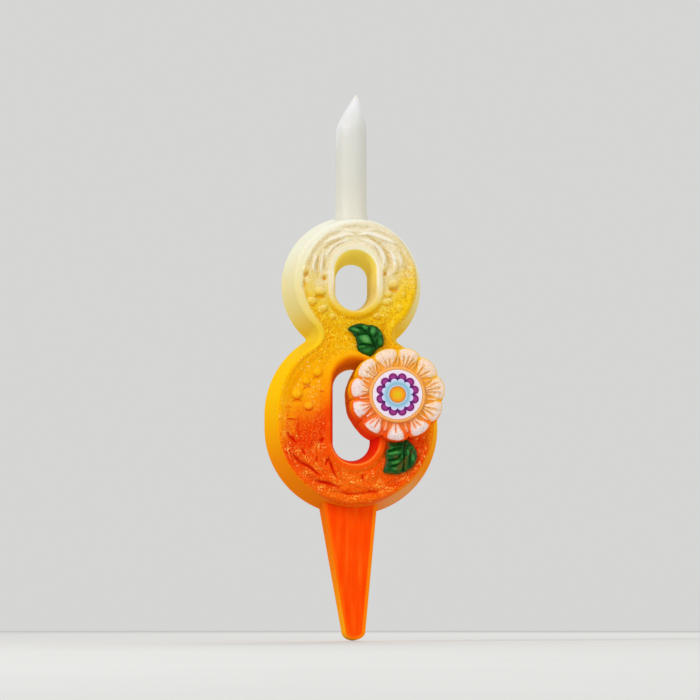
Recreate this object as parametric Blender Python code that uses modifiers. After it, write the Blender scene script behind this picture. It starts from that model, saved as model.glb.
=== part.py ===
"""Number birthday candle: a wax figure 8 with a wick stem, a cake stake, a flower and two leaves.

The figure stands in the XZ plane and its front faces -Y. The origin is the middle of the stake's
top section, level with the cake's surface. Metres, +Z up.
"""

import math

import bmesh
import bpy

GAP = 0.0003
PAST = 0.001

# The figure 8: a plate with drafted sides, widest at its flat back.
BACK_Y = 0.00475
FIGURE_DEPTH = 0.0165
FRONT_Y = BACK_Y - FIGURE_DEPTH
FIGURE_DRAFT = 0.0030
EDGE_ROUND = 0.001
EDGE_TURNS = (30, 60, 90)
UPPER_Z = 0.0687
UPPER_RADIUS = 0.021
LOWER_TOP_Z = 0.0299
LOWER_BOTTOM_Z = 0.026
LOWER_RADIUS = 0.026
WAIST_FILLET = 0.0008

# Its two openings, as half widths and half heights at the front, how much less these are at the
# back, and how much lower the openings lie there.
UPPER_OPENING = (0.00615, 0.0090)
LOWER_OPENING = (0.0069, 0.0157)
LOWER_OPENING_Z = 0.0303
OPENING_DRAFT = (0.0014, 0.0021)
OPENING_DROP = 0.0005
OPENING_FLARE = 0.0006

# The sunken fields of its front, between the outer rim and the rims round the openings.
RIM = 0.0018
FIELD_DEPTH = 0.0008

# The stem: radius and height of each point of its outer profile.
STEM_X = -0.0003
STEM_RADIUS = 0.00475
STEM_FOOT_Z = 0.0850
STEM_TOP_Z = 0.1236
STEM_PROFILE = (
    (0.00140, STEM_TOP_Z),
    (0.00205, 0.1223),
    (0.00285, 0.1208),
    (0.00360, 0.1193),
    (0.00415, 0.1179),
    (0.00450, 0.1166),
    (0.00470, 0.1152),
    (STEM_RADIUS, 0.1138),
    (STEM_RADIUS, 0.0926),
    (0.00480, 0.0908),
    (0.00490, 0.0896),
    (0.00490, STEM_FOOT_Z),
)
LEAN_START_Z = 0.114
LEAN = 0.0016

# The wick, which ends in a blind bore in the figure.
WICK_RADIUS = 0.0008
WICK_TOP_Z = 0.1264
WICK_FOOT_Z = 0.0806
WICK_BORE_Z = 0.0800
WICK_POINT_SPACING = 0.0035

# The stake: a tapered plate, flush with the figure's back, with a tang in a socket.
# Its top and its end are given as middle x, half width at the back, and draft.
STAKE_DEPTH = 0.0106
STAKE_TOP = (-0.0009, 0.00835, 0.0008)
STAKE_END = (0.0004, 0.0034, 0.00035)
STAKE_END_Z = -0.0345
STAKE_TIP_Z = -0.0373
STAKE_BLANK_Z = 0.004
STAKE_ROUND = 0.0005
TANG = (0.0060, 0.0044)
TANG_TOP_Z = 0.0065
TANG_FOOT_Z = -0.0040

# The flower: its petals' directions in degrees, clockwise from straight up.
FLOWER_CENTRE = (0.0123, 0.0348)
PETAL_DIRECTIONS = (-16, 15, 46, 84, 112, 150, 182, 219, 250, 278, 308)
POINTS_PER_PETAL = 7
FLOWER_FACE_Y = -0.0161
FLOWER_SECTIONS = (
    (BACK_Y, 0.0146, 0.0146),
    (-0.0080, 0.0145, 0.0142),
    (FRONT_Y, 0.0139, 0.0131),
    (-0.0140, 0.0140, 0.0126),
    (-0.0153, 0.0134, 0.0118),
    (FLOWER_FACE_Y, 0.0112, 0.0102),
)
MEDALLION_RADIUS = 0.0075
MEDALLION_THICKNESS = 0.0009
RECESS_DEPTH = 0.0009
MEDALLION_BEVEL = 0.0002

# The leaves: outlines in the figure's front plane.
LEAF_THICKNESS = 0.0018
LEAF_BEVEL = 0.0003
UPPER_LEAF = (
    (-0.0025, 0.0540), (0.0012, 0.0558), (0.0047, 0.0555), (0.0071, 0.0542),
    (0.0083, 0.0517), (0.0083, 0.0493), (0.0063, 0.0479), (0.0043, 0.0459),
    (0.0006, 0.0473), (0.0000, 0.0496), (-0.0001, 0.0518), (-0.0013, 0.0531),
)
LOWER_LEAF = (
    (0.0098, 0.0210), (0.0144, 0.0218), (0.0174, 0.0197), (0.0183, 0.0167),
    (0.0170, 0.0137), (0.0139, 0.0117), (0.0079, 0.0118), (0.0087, 0.0157),
    (0.0087, 0.0184),
)

# How far apart the points of arcs are, in degrees: on wide arcs, on narrow ones and in the waist.
WIDE_ARC_STEP = 6
NARROW_ARC_STEP = 10
WAIST_ARC_STEP = 20
SMOOTH_ANGLE = math.radians(35)
COLLECTION = "Number_Birthday_Candle"


# ---------------------------------------------------------------- scene, objects and materials


def clear_scene():
    for obj in list(bpy.data.objects):
        bpy.data.objects.remove(obj, do_unlink=True)


def new_collection(name):
    collection = bpy.data.collections.new(name)
    bpy.context.scene.collection.children.link(collection)
    return collection


def material(name, colour, roughness):
    made = bpy.data.materials.new(name)
    made.use_nodes = True
    shader = made.node_tree.nodes["Principled BSDF"]
    shader.inputs["Base Color"].default_value = (*colour, 1.0)
    shader.inputs["Roughness"].default_value = roughness
    shader.inputs["Metallic"].default_value = 0.0
    return made


def place(obj, collection, location=(0.0, 0.0, 0.0)):
    """Moves an object to its collection and its place."""
    for old in list(obj.users_collection):
        old.objects.unlink(obj)
    collection.objects.link(obj)
    obj.location = location
    return obj


def finish_part(obj, surface, parent):
    obj.data.materials.clear()
    obj.data.materials.append(surface)
    obj.parent = parent
    if obj.type == "MESH":
        obj.data.shade_smooth()
        obj.data.set_sharp_from_angle(angle=SMOOTH_ANGLE)
    return obj


def as_cutter(obj, collection):
    place(obj, collection, tuple(obj.location))
    obj.hide_render = True
    obj.display_type = "WIRE"
    return obj


def boolean(body, tool, operation="DIFFERENCE"):
    step = body.modifiers.new(tool.name, "BOOLEAN")
    step.operation = operation
    step.object = tool
    step.solver = "EXACT"


# ---------------------------------------------------------------- outlines, as lists of (x, z)


def between(start, end, share):
    return start + (end - start) * share


def arc(centre, radius, start, end, spacing):
    """Points on a circle from one angle to another, both included, about a spacing apart.

    The angles are in radians and the spacing is in degrees.
    """
    steps = round(math.degrees(abs(end - start)) / spacing)
    angles = [between(start, end, step / steps) for step in range(steps + 1)]
    return [(centre[0] + radius * math.cos(a), centre[1] + radius * math.sin(a)) for a in angles]


def mirrored(right_half):
    """A closed outline from its right half, whose first and last points lie on the mirror line."""
    return right_half + [(-x, z) for x, z in reversed(right_half[1:-1])]


def figure_outline(draft_share, inset):
    """The figure's outer outline, inset by a share of its draft and by a distance."""
    inset = FIGURE_DRAFT * draft_share + inset
    rise = UPPER_Z - LOWER_TOP_Z
    to_lower_centre = LOWER_RADIUS + WAIST_FILLET
    to_upper_centre = UPPER_RADIUS + WAIST_FILLET
    height = (rise**2 + to_lower_centre**2 - to_upper_centre**2) / (2 * rise)
    waist = (math.sqrt(to_lower_centre**2 - height**2), LOWER_TOP_Z + height)
    up = math.atan2(UPPER_Z - waist[1], -waist[0])
    down = math.atan2(LOWER_TOP_Z - waist[1], -waist[0]) + math.tau
    top = arc((0, UPPER_Z), UPPER_RADIUS - inset, math.pi / 2, up - math.pi, WIDE_ARC_STEP)
    notch = arc(waist, WAIST_FILLET + inset, up, down, WAIST_ARC_STEP)
    side = arc((0, LOWER_TOP_Z), LOWER_RADIUS - inset, down - math.pi, 0, WIDE_ARC_STEP)
    bottom = arc((0, LOWER_BOTTOM_Z), LOWER_RADIUS - inset, 0, -math.pi / 2, WIDE_ARC_STEP)
    return mirrored(top + notch[1:] + side[1:] + bottom)


def oblong(centre_z, half_width, half_height):
    """An upright oblong with round ends."""
    straight = half_height - half_width
    top = arc((0, centre_z + straight), half_width, math.pi / 2, 0, NARROW_ARC_STEP)
    bottom = arc((0, centre_z - straight), half_width, 0, -math.pi / 2, NARROW_ARC_STEP)
    return mirrored(top + bottom)


def stake_outline(draft_share, inset):
    """The stake's outline, inset by a share of its draft and by a distance."""
    half_width_top = STAKE_TOP[1] - draft_share * STAKE_TOP[2] - inset
    half_width_end = STAKE_END[1] - draft_share * STAKE_END[2] - inset
    end_height = STAKE_END_Z - STAKE_TIP_Z - draft_share * STAKE_END[2] - inset
    rise = STAKE_BLANK_Z / -STAKE_END_Z
    half_width_blank = half_width_top + (half_width_top - half_width_end) * rise
    blank_x = STAKE_TOP[0] + (STAKE_TOP[0] - STAKE_END[0]) * rise
    end = [
        (STAKE_END[0] + x * half_width_end, STAKE_END_Z + z * end_height)
        for x, z in arc((0, 0), 1, 0, -math.pi, NARROW_ARC_STEP)
    ]
    left = (blank_x - half_width_blank, STAKE_BLANK_Z)
    right = (blank_x + half_width_blank, STAKE_BLANK_Z)
    return end + [left, right]


def flower_outline(tip_radius, valley_radius):
    """The flower's scalloped outline round its own centre, one rounded lobe for each petal."""
    points = []
    count = len(PETAL_DIRECTIONS)
    for index, direction in enumerate(PETAL_DIRECTIONS):
        before = PETAL_DIRECTIONS[index - 1] - (360 if index == 0 else 0)
        after = PETAL_DIRECTIONS[(index + 1) % count] + (360 if index == count - 1 else 0)
        start = (before + direction) / 2
        end = (direction + after) / 2
        for step in range(POINTS_PER_PETAL):
            share = step / POINTS_PER_PETAL
            angle = math.radians(90 - between(start, end, share))
            lobe = math.sqrt(math.sin(math.pi * share))
            radius = between(valley_radius, tip_radius, lobe)
            points.append((radius * math.cos(angle), radius * math.sin(angle)))
    return points


# ---------------------------------------------------------------- solids


def loft(name, sections):
    """A closed body through outlines of equal length, each given with its y, from back to front."""
    mesh = bpy.data.meshes.new(name)
    build = bmesh.new()
    rings = [[build.verts.new((x, y, z)) for x, z in outline] for y, outline in sections]
    for back, front in zip(rings, rings[1:]):
        for i in range(len(back)):
            j = (i + 1) % len(back)
            build.faces.new((back[i], back[j], front[j], front[i]))
    build.faces.new(rings[0])
    build.faces.new(rings[-1])
    bmesh.ops.recalc_face_normals(build, faces=build.faces)
    build.to_mesh(mesh)
    build.free()
    return bpy.data.objects.new(name, mesh)


def region(name, outlines, thickness, bevel=0.0):
    """A flat body in the XZ plane round y = 0. Outlines inside the first one are holes in it."""
    curve = bpy.data.curves.new(name, "CURVE")
    curve.dimensions = "2D"
    curve.fill_mode = "BOTH"
    curve.extrude = thickness / 2 - bevel
    curve.bevel_depth = bevel
    curve.bevel_resolution = 1
    curve.offset = -bevel
    for outline in outlines:
        spline = curve.splines.new("POLY")
        spline.use_cyclic_u = True
        spline.points.add(len(outline) - 1)
        for point, (x, z) in zip(spline.points, outline):
            point.co = (x, z, 0, 1)
    guide = bpy.data.objects.new(name + "_guide", curve)
    bpy.context.scene.collection.objects.link(guide)
    guide.rotation_euler = (math.pi / 2, 0, 0)
    bpy.context.view_layer.update()
    graph = bpy.context.evaluated_depsgraph_get()
    mesh = bpy.data.meshes.new_from_object(guide.evaluated_get(graph))
    mesh.transform(guide.matrix_world)
    bpy.data.objects.remove(guide, do_unlink=True)
    build = bmesh.new()
    build.from_mesh(mesh)
    bmesh.ops.remove_doubles(build, verts=build.verts, dist=1e-6)
    bmesh.ops.recalc_face_normals(build, faces=build.faces)
    build.to_mesh(mesh)
    build.free()
    mesh.name = name
    return bpy.data.objects.new(name, mesh)


def box(name, low, high):
    """A box between two corners."""
    bpy.ops.mesh.primitive_cube_add(size=1)
    obj = bpy.context.object
    obj.name = name
    size = [b - a for a, b in zip(low, high)]
    middle = [(a + b) / 2 for a, b in zip(low, high)]
    for vertex in obj.data.vertices:
        vertex.co = [m + c * s for m, c, s in zip(middle, vertex.co, size)]
    return obj


def drafted_plate(name, outline, depth, edge_round, clearance=0.0):
    """A plate with a flat back, sides that draw in towards the front, and a rounded front edge.

    Its outline is a function of the share of the draft and of a further inset. The plate is
    larger by a clearance all round.
    """
    edge_y = BACK_Y - depth + edge_round - clearance
    edge_share = 1 - edge_round / depth
    sections = [
        (BACK_Y + clearance, outline(0.0, -clearance)),
        (edge_y, outline(edge_share, -clearance)),
    ]
    for turn in EDGE_TURNS:
        angle = math.radians(turn)
        inset = edge_round * (1 - math.cos(angle)) - clearance
        sections.append((edge_y - edge_round * math.sin(angle), outline(edge_share, inset)))
    return loft(name, sections)


def drafted_figure(name, clearance=0.0):
    return drafted_plate(name, figure_outline, FIGURE_DEPTH, EDGE_ROUND, clearance)


def opening_cutter(name, centre_z, half_sizes, clearance):
    """A tapered plug for one opening, widest at the front, smaller by a clearance all round."""
    sections = []
    for depth, flare in (
        (FIGURE_DEPTH + PAST, 0.0),
        (EDGE_ROUND, 0.0),
        (0.0, OPENING_FLARE),
        (-PAST, 2 * OPENING_FLARE),
    ):
        narrowing = depth / FIGURE_DEPTH
        half_width, half_height = [
            half - draft * narrowing + flare - clearance
            for half, draft in zip(half_sizes, OPENING_DRAFT)
        ]
        middle_z = centre_z - OPENING_DROP * narrowing
        sections.append((FRONT_Y + depth, oblong(middle_z, half_width, half_height)))
    return loft(name, sections)


def field_cutter(name, outer, centre_z, half_sizes):
    """The sunken field round one opening, from a little in front of the figure's face."""
    inner = oblong(centre_z, *[half + RIM for half in half_sizes])
    obj = region(name, (outer, inner), FIELD_DEPTH + PAST)
    obj.location.y = FRONT_Y + (FIELD_DEPTH - PAST) / 2
    return obj


def lower_field_outline():
    radius = LOWER_RADIUS - FIGURE_DRAFT - RIM
    top = arc((0, LOWER_TOP_Z), radius, math.pi / 2, 0, WIDE_ARC_STEP)
    bottom = arc((0, LOWER_BOTTOM_Z), radius, 0, -math.pi / 2, WIDE_ARC_STEP)
    return mirrored(top + bottom)


def upper_field_outline():
    radius = UPPER_RADIUS - FIGURE_DRAFT - RIM
    return arc((0, UPPER_Z), radius, 0, math.tau, NARROW_ARC_STEP)[:-1]


def openings(body, cutters, clearance, suffix):
    for name, centre_z, half_sizes in (
        ("upper_opening", UPPER_Z, UPPER_OPENING),
        ("lower_opening", LOWER_OPENING_Z, LOWER_OPENING),
    ):
        tool = opening_cutter(name + suffix, centre_z, half_sizes, clearance)
        boolean(body, as_cutter(tool, cutters))


def wick_bore(cutters):
    """The bore that the wick fills, through the stem and into the figure."""
    bpy.ops.mesh.primitive_cylinder_add(
        vertices=16,
        radius=WICK_RADIUS + GAP,
        depth=LEAN_START_Z - WICK_BORE_Z,
        location=(STEM_X, 0, (LEAN_START_Z + WICK_BORE_Z) / 2),
    )
    bpy.context.object.name = "wick_bore"
    return as_cutter(bpy.context.object, cutters)


def clearance_figure(cutters):
    """The figure with its openings, larger by the gap that its neighbours keep."""
    obj = as_cutter(drafted_figure("figure_clearance", GAP), cutters)
    openings(obj, cutters, GAP, "_clearance")
    return obj


# ---------------------------------------------------------------- the parts


def make_digit_body(parts, cutters, bore):
    obj = place(drafted_figure("digit_body"), parts)
    openings(obj, cutters, 0.0, "")
    upper = field_cutter("upper_field", upper_field_outline(), UPPER_Z, UPPER_OPENING)
    lower = field_cutter("lower_field", lower_field_outline(), LOWER_OPENING_Z, LOWER_OPENING)
    boolean(obj, as_cutter(upper, cutters))
    boolean(obj, as_cutter(lower, cutters))
    boolean(obj, bore)
    socket = box(
        "tang_socket",
        (STAKE_TOP[0] - TANG[0] / 2 - GAP, -TANG[1] / 2 - GAP, TANG_FOOT_Z),
        (STAKE_TOP[0] + TANG[0] / 2 + GAP, TANG[1] / 2 + GAP, TANG_TOP_Z + GAP),
    )
    boolean(obj, as_cutter(socket, cutters))
    return obj


def make_cake_stake(parts, cutters, clearance):
    obj = place(drafted_plate("cake_stake", stake_outline, STAKE_DEPTH, STAKE_ROUND), parts)
    boolean(obj, clearance)
    tang = box(
        "stake_tang",
        (STAKE_TOP[0] - TANG[0] / 2, -TANG[1] / 2, TANG_FOOT_Z),
        (STAKE_TOP[0] + TANG[0] / 2, TANG[1] / 2, TANG_TOP_Z),
    )
    boolean(obj, as_cutter(tang, cutters), "UNION")
    return obj


def lean(z):
    """How far the stem's drawn-out tip leans to +X at a height."""
    rise = max(0.0, z - LEAN_START_Z) / (WICK_TOP_Z - LEAN_START_Z)
    return LEAN * rise**1.5


def make_wick_stem(parts, clearance):
    """A turned column with a bore, flat at the back, its foot cut to the figure's round top."""
    mesh = bpy.data.meshes.new("wick_stem")
    build = bmesh.new()
    bore = WICK_RADIUS + GAP
    profile = list(STEM_PROFILE) + [(bore, STEM_FOOT_Z), (bore, LEAN_START_Z), (bore, STEM_TOP_Z)]
    ring = [build.verts.new((radius, 0, z)) for radius, z in profile]
    for first, second in zip(ring, ring[1:] + ring[:1]):
        build.edges.new((first, second))
    build.to_mesh(mesh)
    build.free()
    turned = place(bpy.data.objects.new("wick_stem", mesh), parts)
    screw = turned.modifiers.new("turn", "SCREW")
    screw.axis = "Z"
    screw.steps = 32
    screw.render_steps = 32
    screw.use_merge_vertices = True
    screw.merge_threshold = 1e-6
    bpy.context.view_layer.update()
    graph = bpy.context.evaluated_depsgraph_get()
    solid = bpy.data.meshes.new_from_object(turned.evaluated_get(graph))
    turned.modifiers.clear()
    turned.data = solid
    for vertex in solid.vertices:
        vertex.co.x += STEM_X + lean(vertex.co.z)
        vertex.co.y = min(vertex.co.y, BACK_Y)
    boolean(turned, clearance)
    return turned


def make_wick(parts):
    curve = bpy.data.curves.new("wick", "CURVE")
    curve.dimensions = "3D"
    curve.bevel_depth = WICK_RADIUS
    curve.bevel_resolution = 2
    curve.use_fill_caps = True
    spline = curve.splines.new("POLY")
    steps = round((WICK_TOP_Z - WICK_FOOT_Z) / WICK_POINT_SPACING)
    spline.points.add(steps)
    for index, point in enumerate(spline.points):
        z = between(WICK_FOOT_Z, WICK_TOP_Z, index / steps)
        point.co = (STEM_X + lean(z), 0, z, 1)
    return place(bpy.data.objects.new("wick", curve), parts)


def make_flower(parts, cutters, clearance):
    sections = [(y, flower_outline(tip, valley)) for y, tip, valley in FLOWER_SECTIONS]
    location = (FLOWER_CENTRE[0], 0, FLOWER_CENTRE[1])
    obj = place(loft("flower", sections), parts, location)
    boolean(obj, clearance)
    bpy.ops.mesh.primitive_cylinder_add(
        vertices=48,
        radius=MEDALLION_RADIUS + GAP,
        depth=RECESS_DEPTH + PAST,
        location=(location[0], FLOWER_FACE_Y + (RECESS_DEPTH - PAST) / 2, location[2]),
        rotation=(math.pi / 2, 0, 0),
    )
    bpy.context.object.name = "medallion_recess"
    boolean(obj, as_cutter(bpy.context.object, cutters))
    return obj


def flower_clearance(cutters):
    """The flower's outer body, larger by the gap that the leaves keep to it."""
    sections = [(y, flower_outline(tip + GAP, valley + GAP)) for y, tip, valley in FLOWER_SECTIONS]
    obj = loft("flower_clearance", sections)
    obj.location = (FLOWER_CENTRE[0], 0, FLOWER_CENTRE[1])
    return as_cutter(obj, cutters)


def make_medallion(parts):
    floor_y = FLOWER_FACE_Y + RECESS_DEPTH - GAP
    bpy.ops.mesh.primitive_cylinder_add(
        vertices=48,
        radius=MEDALLION_RADIUS,
        depth=MEDALLION_THICKNESS,
        rotation=(math.pi / 2, 0, 0),
    )
    obj = bpy.context.object
    obj.name = "medallion"
    place(obj, parts, (FLOWER_CENTRE[0], floor_y - MEDALLION_THICKNESS / 2, FLOWER_CENTRE[1]))
    bevel = obj.modifiers.new("edge", "BEVEL")
    bevel.width = MEDALLION_BEVEL
    bevel.segments = 2
    return obj


def make_leaf(name, outline, parts, flower_room):
    obj = region(name, (outline,), LEAF_THICKNESS, LEAF_BEVEL)
    place(obj, parts, (0, FRONT_Y - GAP - LEAF_THICKNESS / 2, 0))
    boolean(obj, flower_room)
    return obj


def make_candle():
    clear_scene()
    parts = new_collection(COLLECTION)
    cutters = new_collection("Cutters")
    origin = place(bpy.data.objects.new("candle_origin", None), parts)
    bore = wick_bore(cutters)
    clearance = clearance_figure(cutters)
    flower_room = flower_clearance(cutters)
    golden = material("Golden_Wax", (0.91, 0.42, 0.03), 0.45)
    orange = material("Orange_Wax", (0.95, 0.12, 0.01), 0.40)
    white = material("White_Wax", (0.74, 0.72, 0.65), 0.40)
    cotton = material("Waxed_Cotton", (0.76, 0.72, 0.62), 0.70)
    peach = material("Peach_Wax", (0.87, 0.58, 0.42), 0.50)
    print_ink = material("Printed_Disc", (0.78, 0.74, 0.84), 0.30)
    green = material("Green_Wax", (0.01, 0.12, 0.02), 0.40)
    finish_part(make_digit_body(parts, cutters, bore), golden, origin)
    finish_part(make_cake_stake(parts, cutters, clearance), orange, origin)
    finish_part(make_wick_stem(parts, clearance), white, origin)
    finish_part(make_wick(parts), cotton, origin)
    finish_part(make_flower(parts, cutters, clearance), peach, origin)
    finish_part(make_medallion(parts), print_ink, origin)
    finish_part(make_leaf("leaf_upper", UPPER_LEAF, parts, flower_room), green, origin)
    finish_part(make_leaf("leaf_lower", LOWER_LEAF, parts, flower_room), green, origin)


make_candle()
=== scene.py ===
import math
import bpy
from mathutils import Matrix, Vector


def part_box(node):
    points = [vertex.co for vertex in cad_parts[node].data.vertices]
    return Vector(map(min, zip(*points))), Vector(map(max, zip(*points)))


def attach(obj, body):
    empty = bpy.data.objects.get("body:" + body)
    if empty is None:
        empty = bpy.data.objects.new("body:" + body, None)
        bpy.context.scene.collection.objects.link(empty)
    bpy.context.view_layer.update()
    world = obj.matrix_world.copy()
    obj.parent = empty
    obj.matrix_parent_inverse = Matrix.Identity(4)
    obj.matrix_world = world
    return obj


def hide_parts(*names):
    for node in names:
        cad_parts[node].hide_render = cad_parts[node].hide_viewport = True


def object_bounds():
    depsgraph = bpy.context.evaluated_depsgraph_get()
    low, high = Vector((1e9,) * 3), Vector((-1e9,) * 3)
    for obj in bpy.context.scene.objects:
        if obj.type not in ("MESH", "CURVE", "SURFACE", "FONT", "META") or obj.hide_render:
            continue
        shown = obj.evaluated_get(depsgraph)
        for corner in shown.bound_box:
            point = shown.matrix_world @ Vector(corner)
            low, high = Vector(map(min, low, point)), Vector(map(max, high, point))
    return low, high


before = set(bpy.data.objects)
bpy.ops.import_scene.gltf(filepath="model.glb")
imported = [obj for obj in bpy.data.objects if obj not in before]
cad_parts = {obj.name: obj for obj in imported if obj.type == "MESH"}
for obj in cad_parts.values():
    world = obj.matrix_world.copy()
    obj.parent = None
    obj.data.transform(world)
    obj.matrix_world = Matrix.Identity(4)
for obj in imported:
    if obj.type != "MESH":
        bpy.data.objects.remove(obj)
cad_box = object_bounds()

# Looks of a wax number candle: the digit 8 with a stem, a stake, a flower and two leaves.
# The pieces are worked out in millimetres and made in metres.

from types import SimpleNamespace

import bpy
import numpy as np
from mathutils import Vector, geometry, noise

MM = 0.001

# ---------------------------------------------------------------- sizes, in millimetres

BACK_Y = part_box("digit_body")[1].y / MM
FIGURE_DEPTH = 16.5
FRONT_Y = BACK_Y - FIGURE_DEPTH
FIGURE_DRAFT = 3.0
EDGE_ROUND = 1.2
BACK_ROUND = 0.3
UPPER_Z = 68.7
UPPER_RADIUS = 21.0
LOWER_TOP_Z = 29.9
LOWER_BOTTOM_Z = 26.0
LOWER_RADIUS = 26.0
WAIST_FILLET = 0.8
FRONT_INSET = FIGURE_DRAFT * (1 - EDGE_ROUND / FIGURE_DEPTH) + EDGE_ROUND

# Each opening: middle height, half width and half height of its walls at the front.
OPENINGS = ((UPPER_Z, 6.15, 9.0), (30.3, 6.9, 15.7))
OPENING_DRAFT = (1.4, 2.1)
OPENING_DROP = 0.5
OPENING_ROUND = 0.8

STEM_X = -0.3
STEM_PROFILE = (
    (0.55, 125.3), (0.85, 124.9), (1.20, 124.3), (1.65, 123.3), (2.20, 122.1), (2.90, 120.7),
    (3.62, 119.2), (4.15, 117.9), (4.50, 116.6), (4.70, 115.2), (4.78, 113.6), (4.78, 100.0),
    (4.78, 92.6), (4.84, 90.8), (5.0, 89.6), (5.2, 88.4), (5.4, 86.0),
)
LEAN_START_Z = 114.0
LEAN = 1.6
WICK_TOP_Z = 126.4
WICK_LOW_Z = 118.0
WICK_STRANDS = 3
WICK_TURN_HEIGHT = 4.2
WICK_STRAND_RADIUS = 0.40
WICK_STRAND_OFFSET = 0.36

STAKE_DEPTH = 10.6
STAKE_TOP = (-0.9, 8.35, 0.8)
STAKE_END = (0.4, 3.4, 0.35)
STAKE_END_Z = -34.5
STAKE_TIP_Z = -37.3
STAKE_BLANK_Z = 6.0
STAKE_ROUND = 0.5

DISC_LOW, DISC_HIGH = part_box("medallion")
FLOWER_X = (DISC_LOW.x + DISC_HIGH.x) / 2 / MM
FLOWER_Z = (DISC_LOW.z + DISC_HIGH.z) / 2 / MM
DISC_RADIUS = (DISC_HIGH.x - DISC_LOW.x) / 2 / MM - 0.15
# The disc was set a little off the flower's middle.
DISC_X = FLOWER_X - 0.3
DISC_Z = FLOWER_Z - 0.2
DISC_FRONT_Y = DISC_LOW.y / MM
DISC_ROUND = 0.25
DISC_SINK = 0.02
RECESS_GAP = 0.03
RECESS_FLOOR = 1.0
# How far the petals' tips and the valleys between them reach, at the front and at the back.
TIP_REACH = (13.8, 14.35)
VALLEY_REACH = (12.5, 13.75)
PETAL_BASE_Y = DISC_FRONT_Y + 1.65
PETAL_DIRECTIONS = (-16, 15, 46, 84, 112, 150, 182, 219, 250, 278, 308)

UPPER_LEAF = (
    (-2.5, 54.1), (-1.7, 54.9), (-0.4, 55.5), (1.4, 55.9), (2.6, 55.7), (3.7, 55.4), (4.9, 55.5),
    (6.4, 54.9), (7.4, 53.9), (8.1, 52.6), (8.4, 50.9), (8.2, 49.1), (7.1, 48.7), (6.1, 47.9),
    (5.2, 46.8), (4.4, 45.9), (3.2, 46.4), (1.9, 46.9), (0.7, 47.8), (0.3, 49.2), (0.5, 49.6),
    (0.1, 51.0), (0.0, 51.8), (-0.5, 52.1), (-0.9, 52.9),
)
LOWER_LEAF = (
    (9.8, 20.9), (12.0, 20.9), (13.6, 21.0), (14.6, 21.8), (15.6, 21.4), (17.2, 19.8), (18.1, 18.1),
    (18.2, 16.4), (17.6, 14.6), (16.1, 12.9), (14.6, 12.0), (12.3, 11.4), (9.8, 11.5), (8.0, 11.9),
    (8.5, 13.6), (8.9, 15.1), (8.7, 16.7), (8.9, 18.5), (9.9, 19.2), (9.6, 20.1),
)
LEAF_BASE_Y = FRONT_Y + 0.4
LEAF_FRONT_Y = -13.85
LEAF_ROUND = 0.25


# ---------------------------------------------------------------- numbers


def smoothstep(low, high, value):
    share = np.clip((value - low) / (high - low), 0, 1)
    return share * share * (3 - 2 * share)


def hump(distance, width):
    """1 at no distance, falling smoothly to 0 at a width."""
    return 0.5 + 0.5 * np.cos(math.pi * np.clip(distance / width, 0, 1))


def mix(start, end, share):
    return start + (end - start) * share


def wobble(x, y, z, size, seed=0.0):
    """Smooth noise between about -1 and 1, with bumps of a size."""
    co = np.stack(np.broadcast_arrays(x, y, z), axis=-1).reshape(-1, 3) / size + seed
    return np.array([noise.noise(p) for p in co.tolist()]).reshape(np.shape(x))


def smooth_path(points, per_piece=6):
    """A smooth curve through points of any width, as an array of more points."""
    p = np.array(points, float)
    p = np.vstack([2 * p[0] - p[1], p, 2 * p[-1] - p[-2]])
    out = []
    for a, b, c, d in zip(p, p[1:], p[2:], p[3:]):
        for t in np.arange(per_piece) / per_piece:
            out.append(
                0.5 * (2 * b + (c - a) * t + (2 * a - 5 * b + 4 * c - d) * t**2
                       + (3 * b - a - 3 * c + d) * t**3)
            )
    return np.array(out + [p[-2]])


def along_path(x, z, path):
    """Each point's distance to a path, and how far along the path it is, from 0 to 1."""
    best = np.full(np.shape(x), 1e9)
    share = np.zeros(np.shape(x))
    count = len(path) - 1
    for i, (a, b) in enumerate(zip(path, path[1:])):
        d = b - a
        t = np.clip(((x - a[0]) * d[0] + (z - a[1]) * d[1]) / max(d @ d, 1e-12), 0, 1)
        away = np.hypot(x - a[0] - t * d[0], z - a[1] - t * d[1])
        nearer = away < best
        best = np.where(nearer, away, best)
        share = np.where(nearer, (i + t) / count, share)
    return best, share


def stroke(x, z, points, width, height):
    """The height of a raised or, below zero, an engraved stroke along a path, with pointed ends."""
    away, share = along_path(x, z, smooth_path(points))
    pointed_part = 0.35
    ends = np.clip(np.minimum(share, 1 - share) / pointed_part, 0, 1) ** 0.6
    return height * np.sqrt(ends) * hump(away, width * (0.35 + 0.65 * ends))


def bead(x, z, centre, radius, height, stretch=1.0, turn=0.0):
    """The height of a round or oval bump."""
    c, s = math.cos(math.radians(turn)), math.sin(math.radians(turn))
    u = ((x - centre[0]) * c + (z - centre[1]) * s) / stretch
    v = -(x - centre[0]) * s + (z - centre[1]) * c
    return height * np.sqrt(np.clip(1 - (u * u + v * v) / radius**2, 0, 1))


# ---------------------------------------------------------------- outlines, as distances


def waist_centre():
    """The middle of the right waist fillet."""
    rise = UPPER_Z - LOWER_TOP_Z
    low, up = LOWER_RADIUS + WAIST_FILLET, UPPER_RADIUS + WAIST_FILLET
    height = (rise**2 + low**2 - up**2) / (2 * rise)
    return math.sqrt(low**2 - height**2), LOWER_TOP_Z + height


WAIST = waist_centre()


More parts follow.
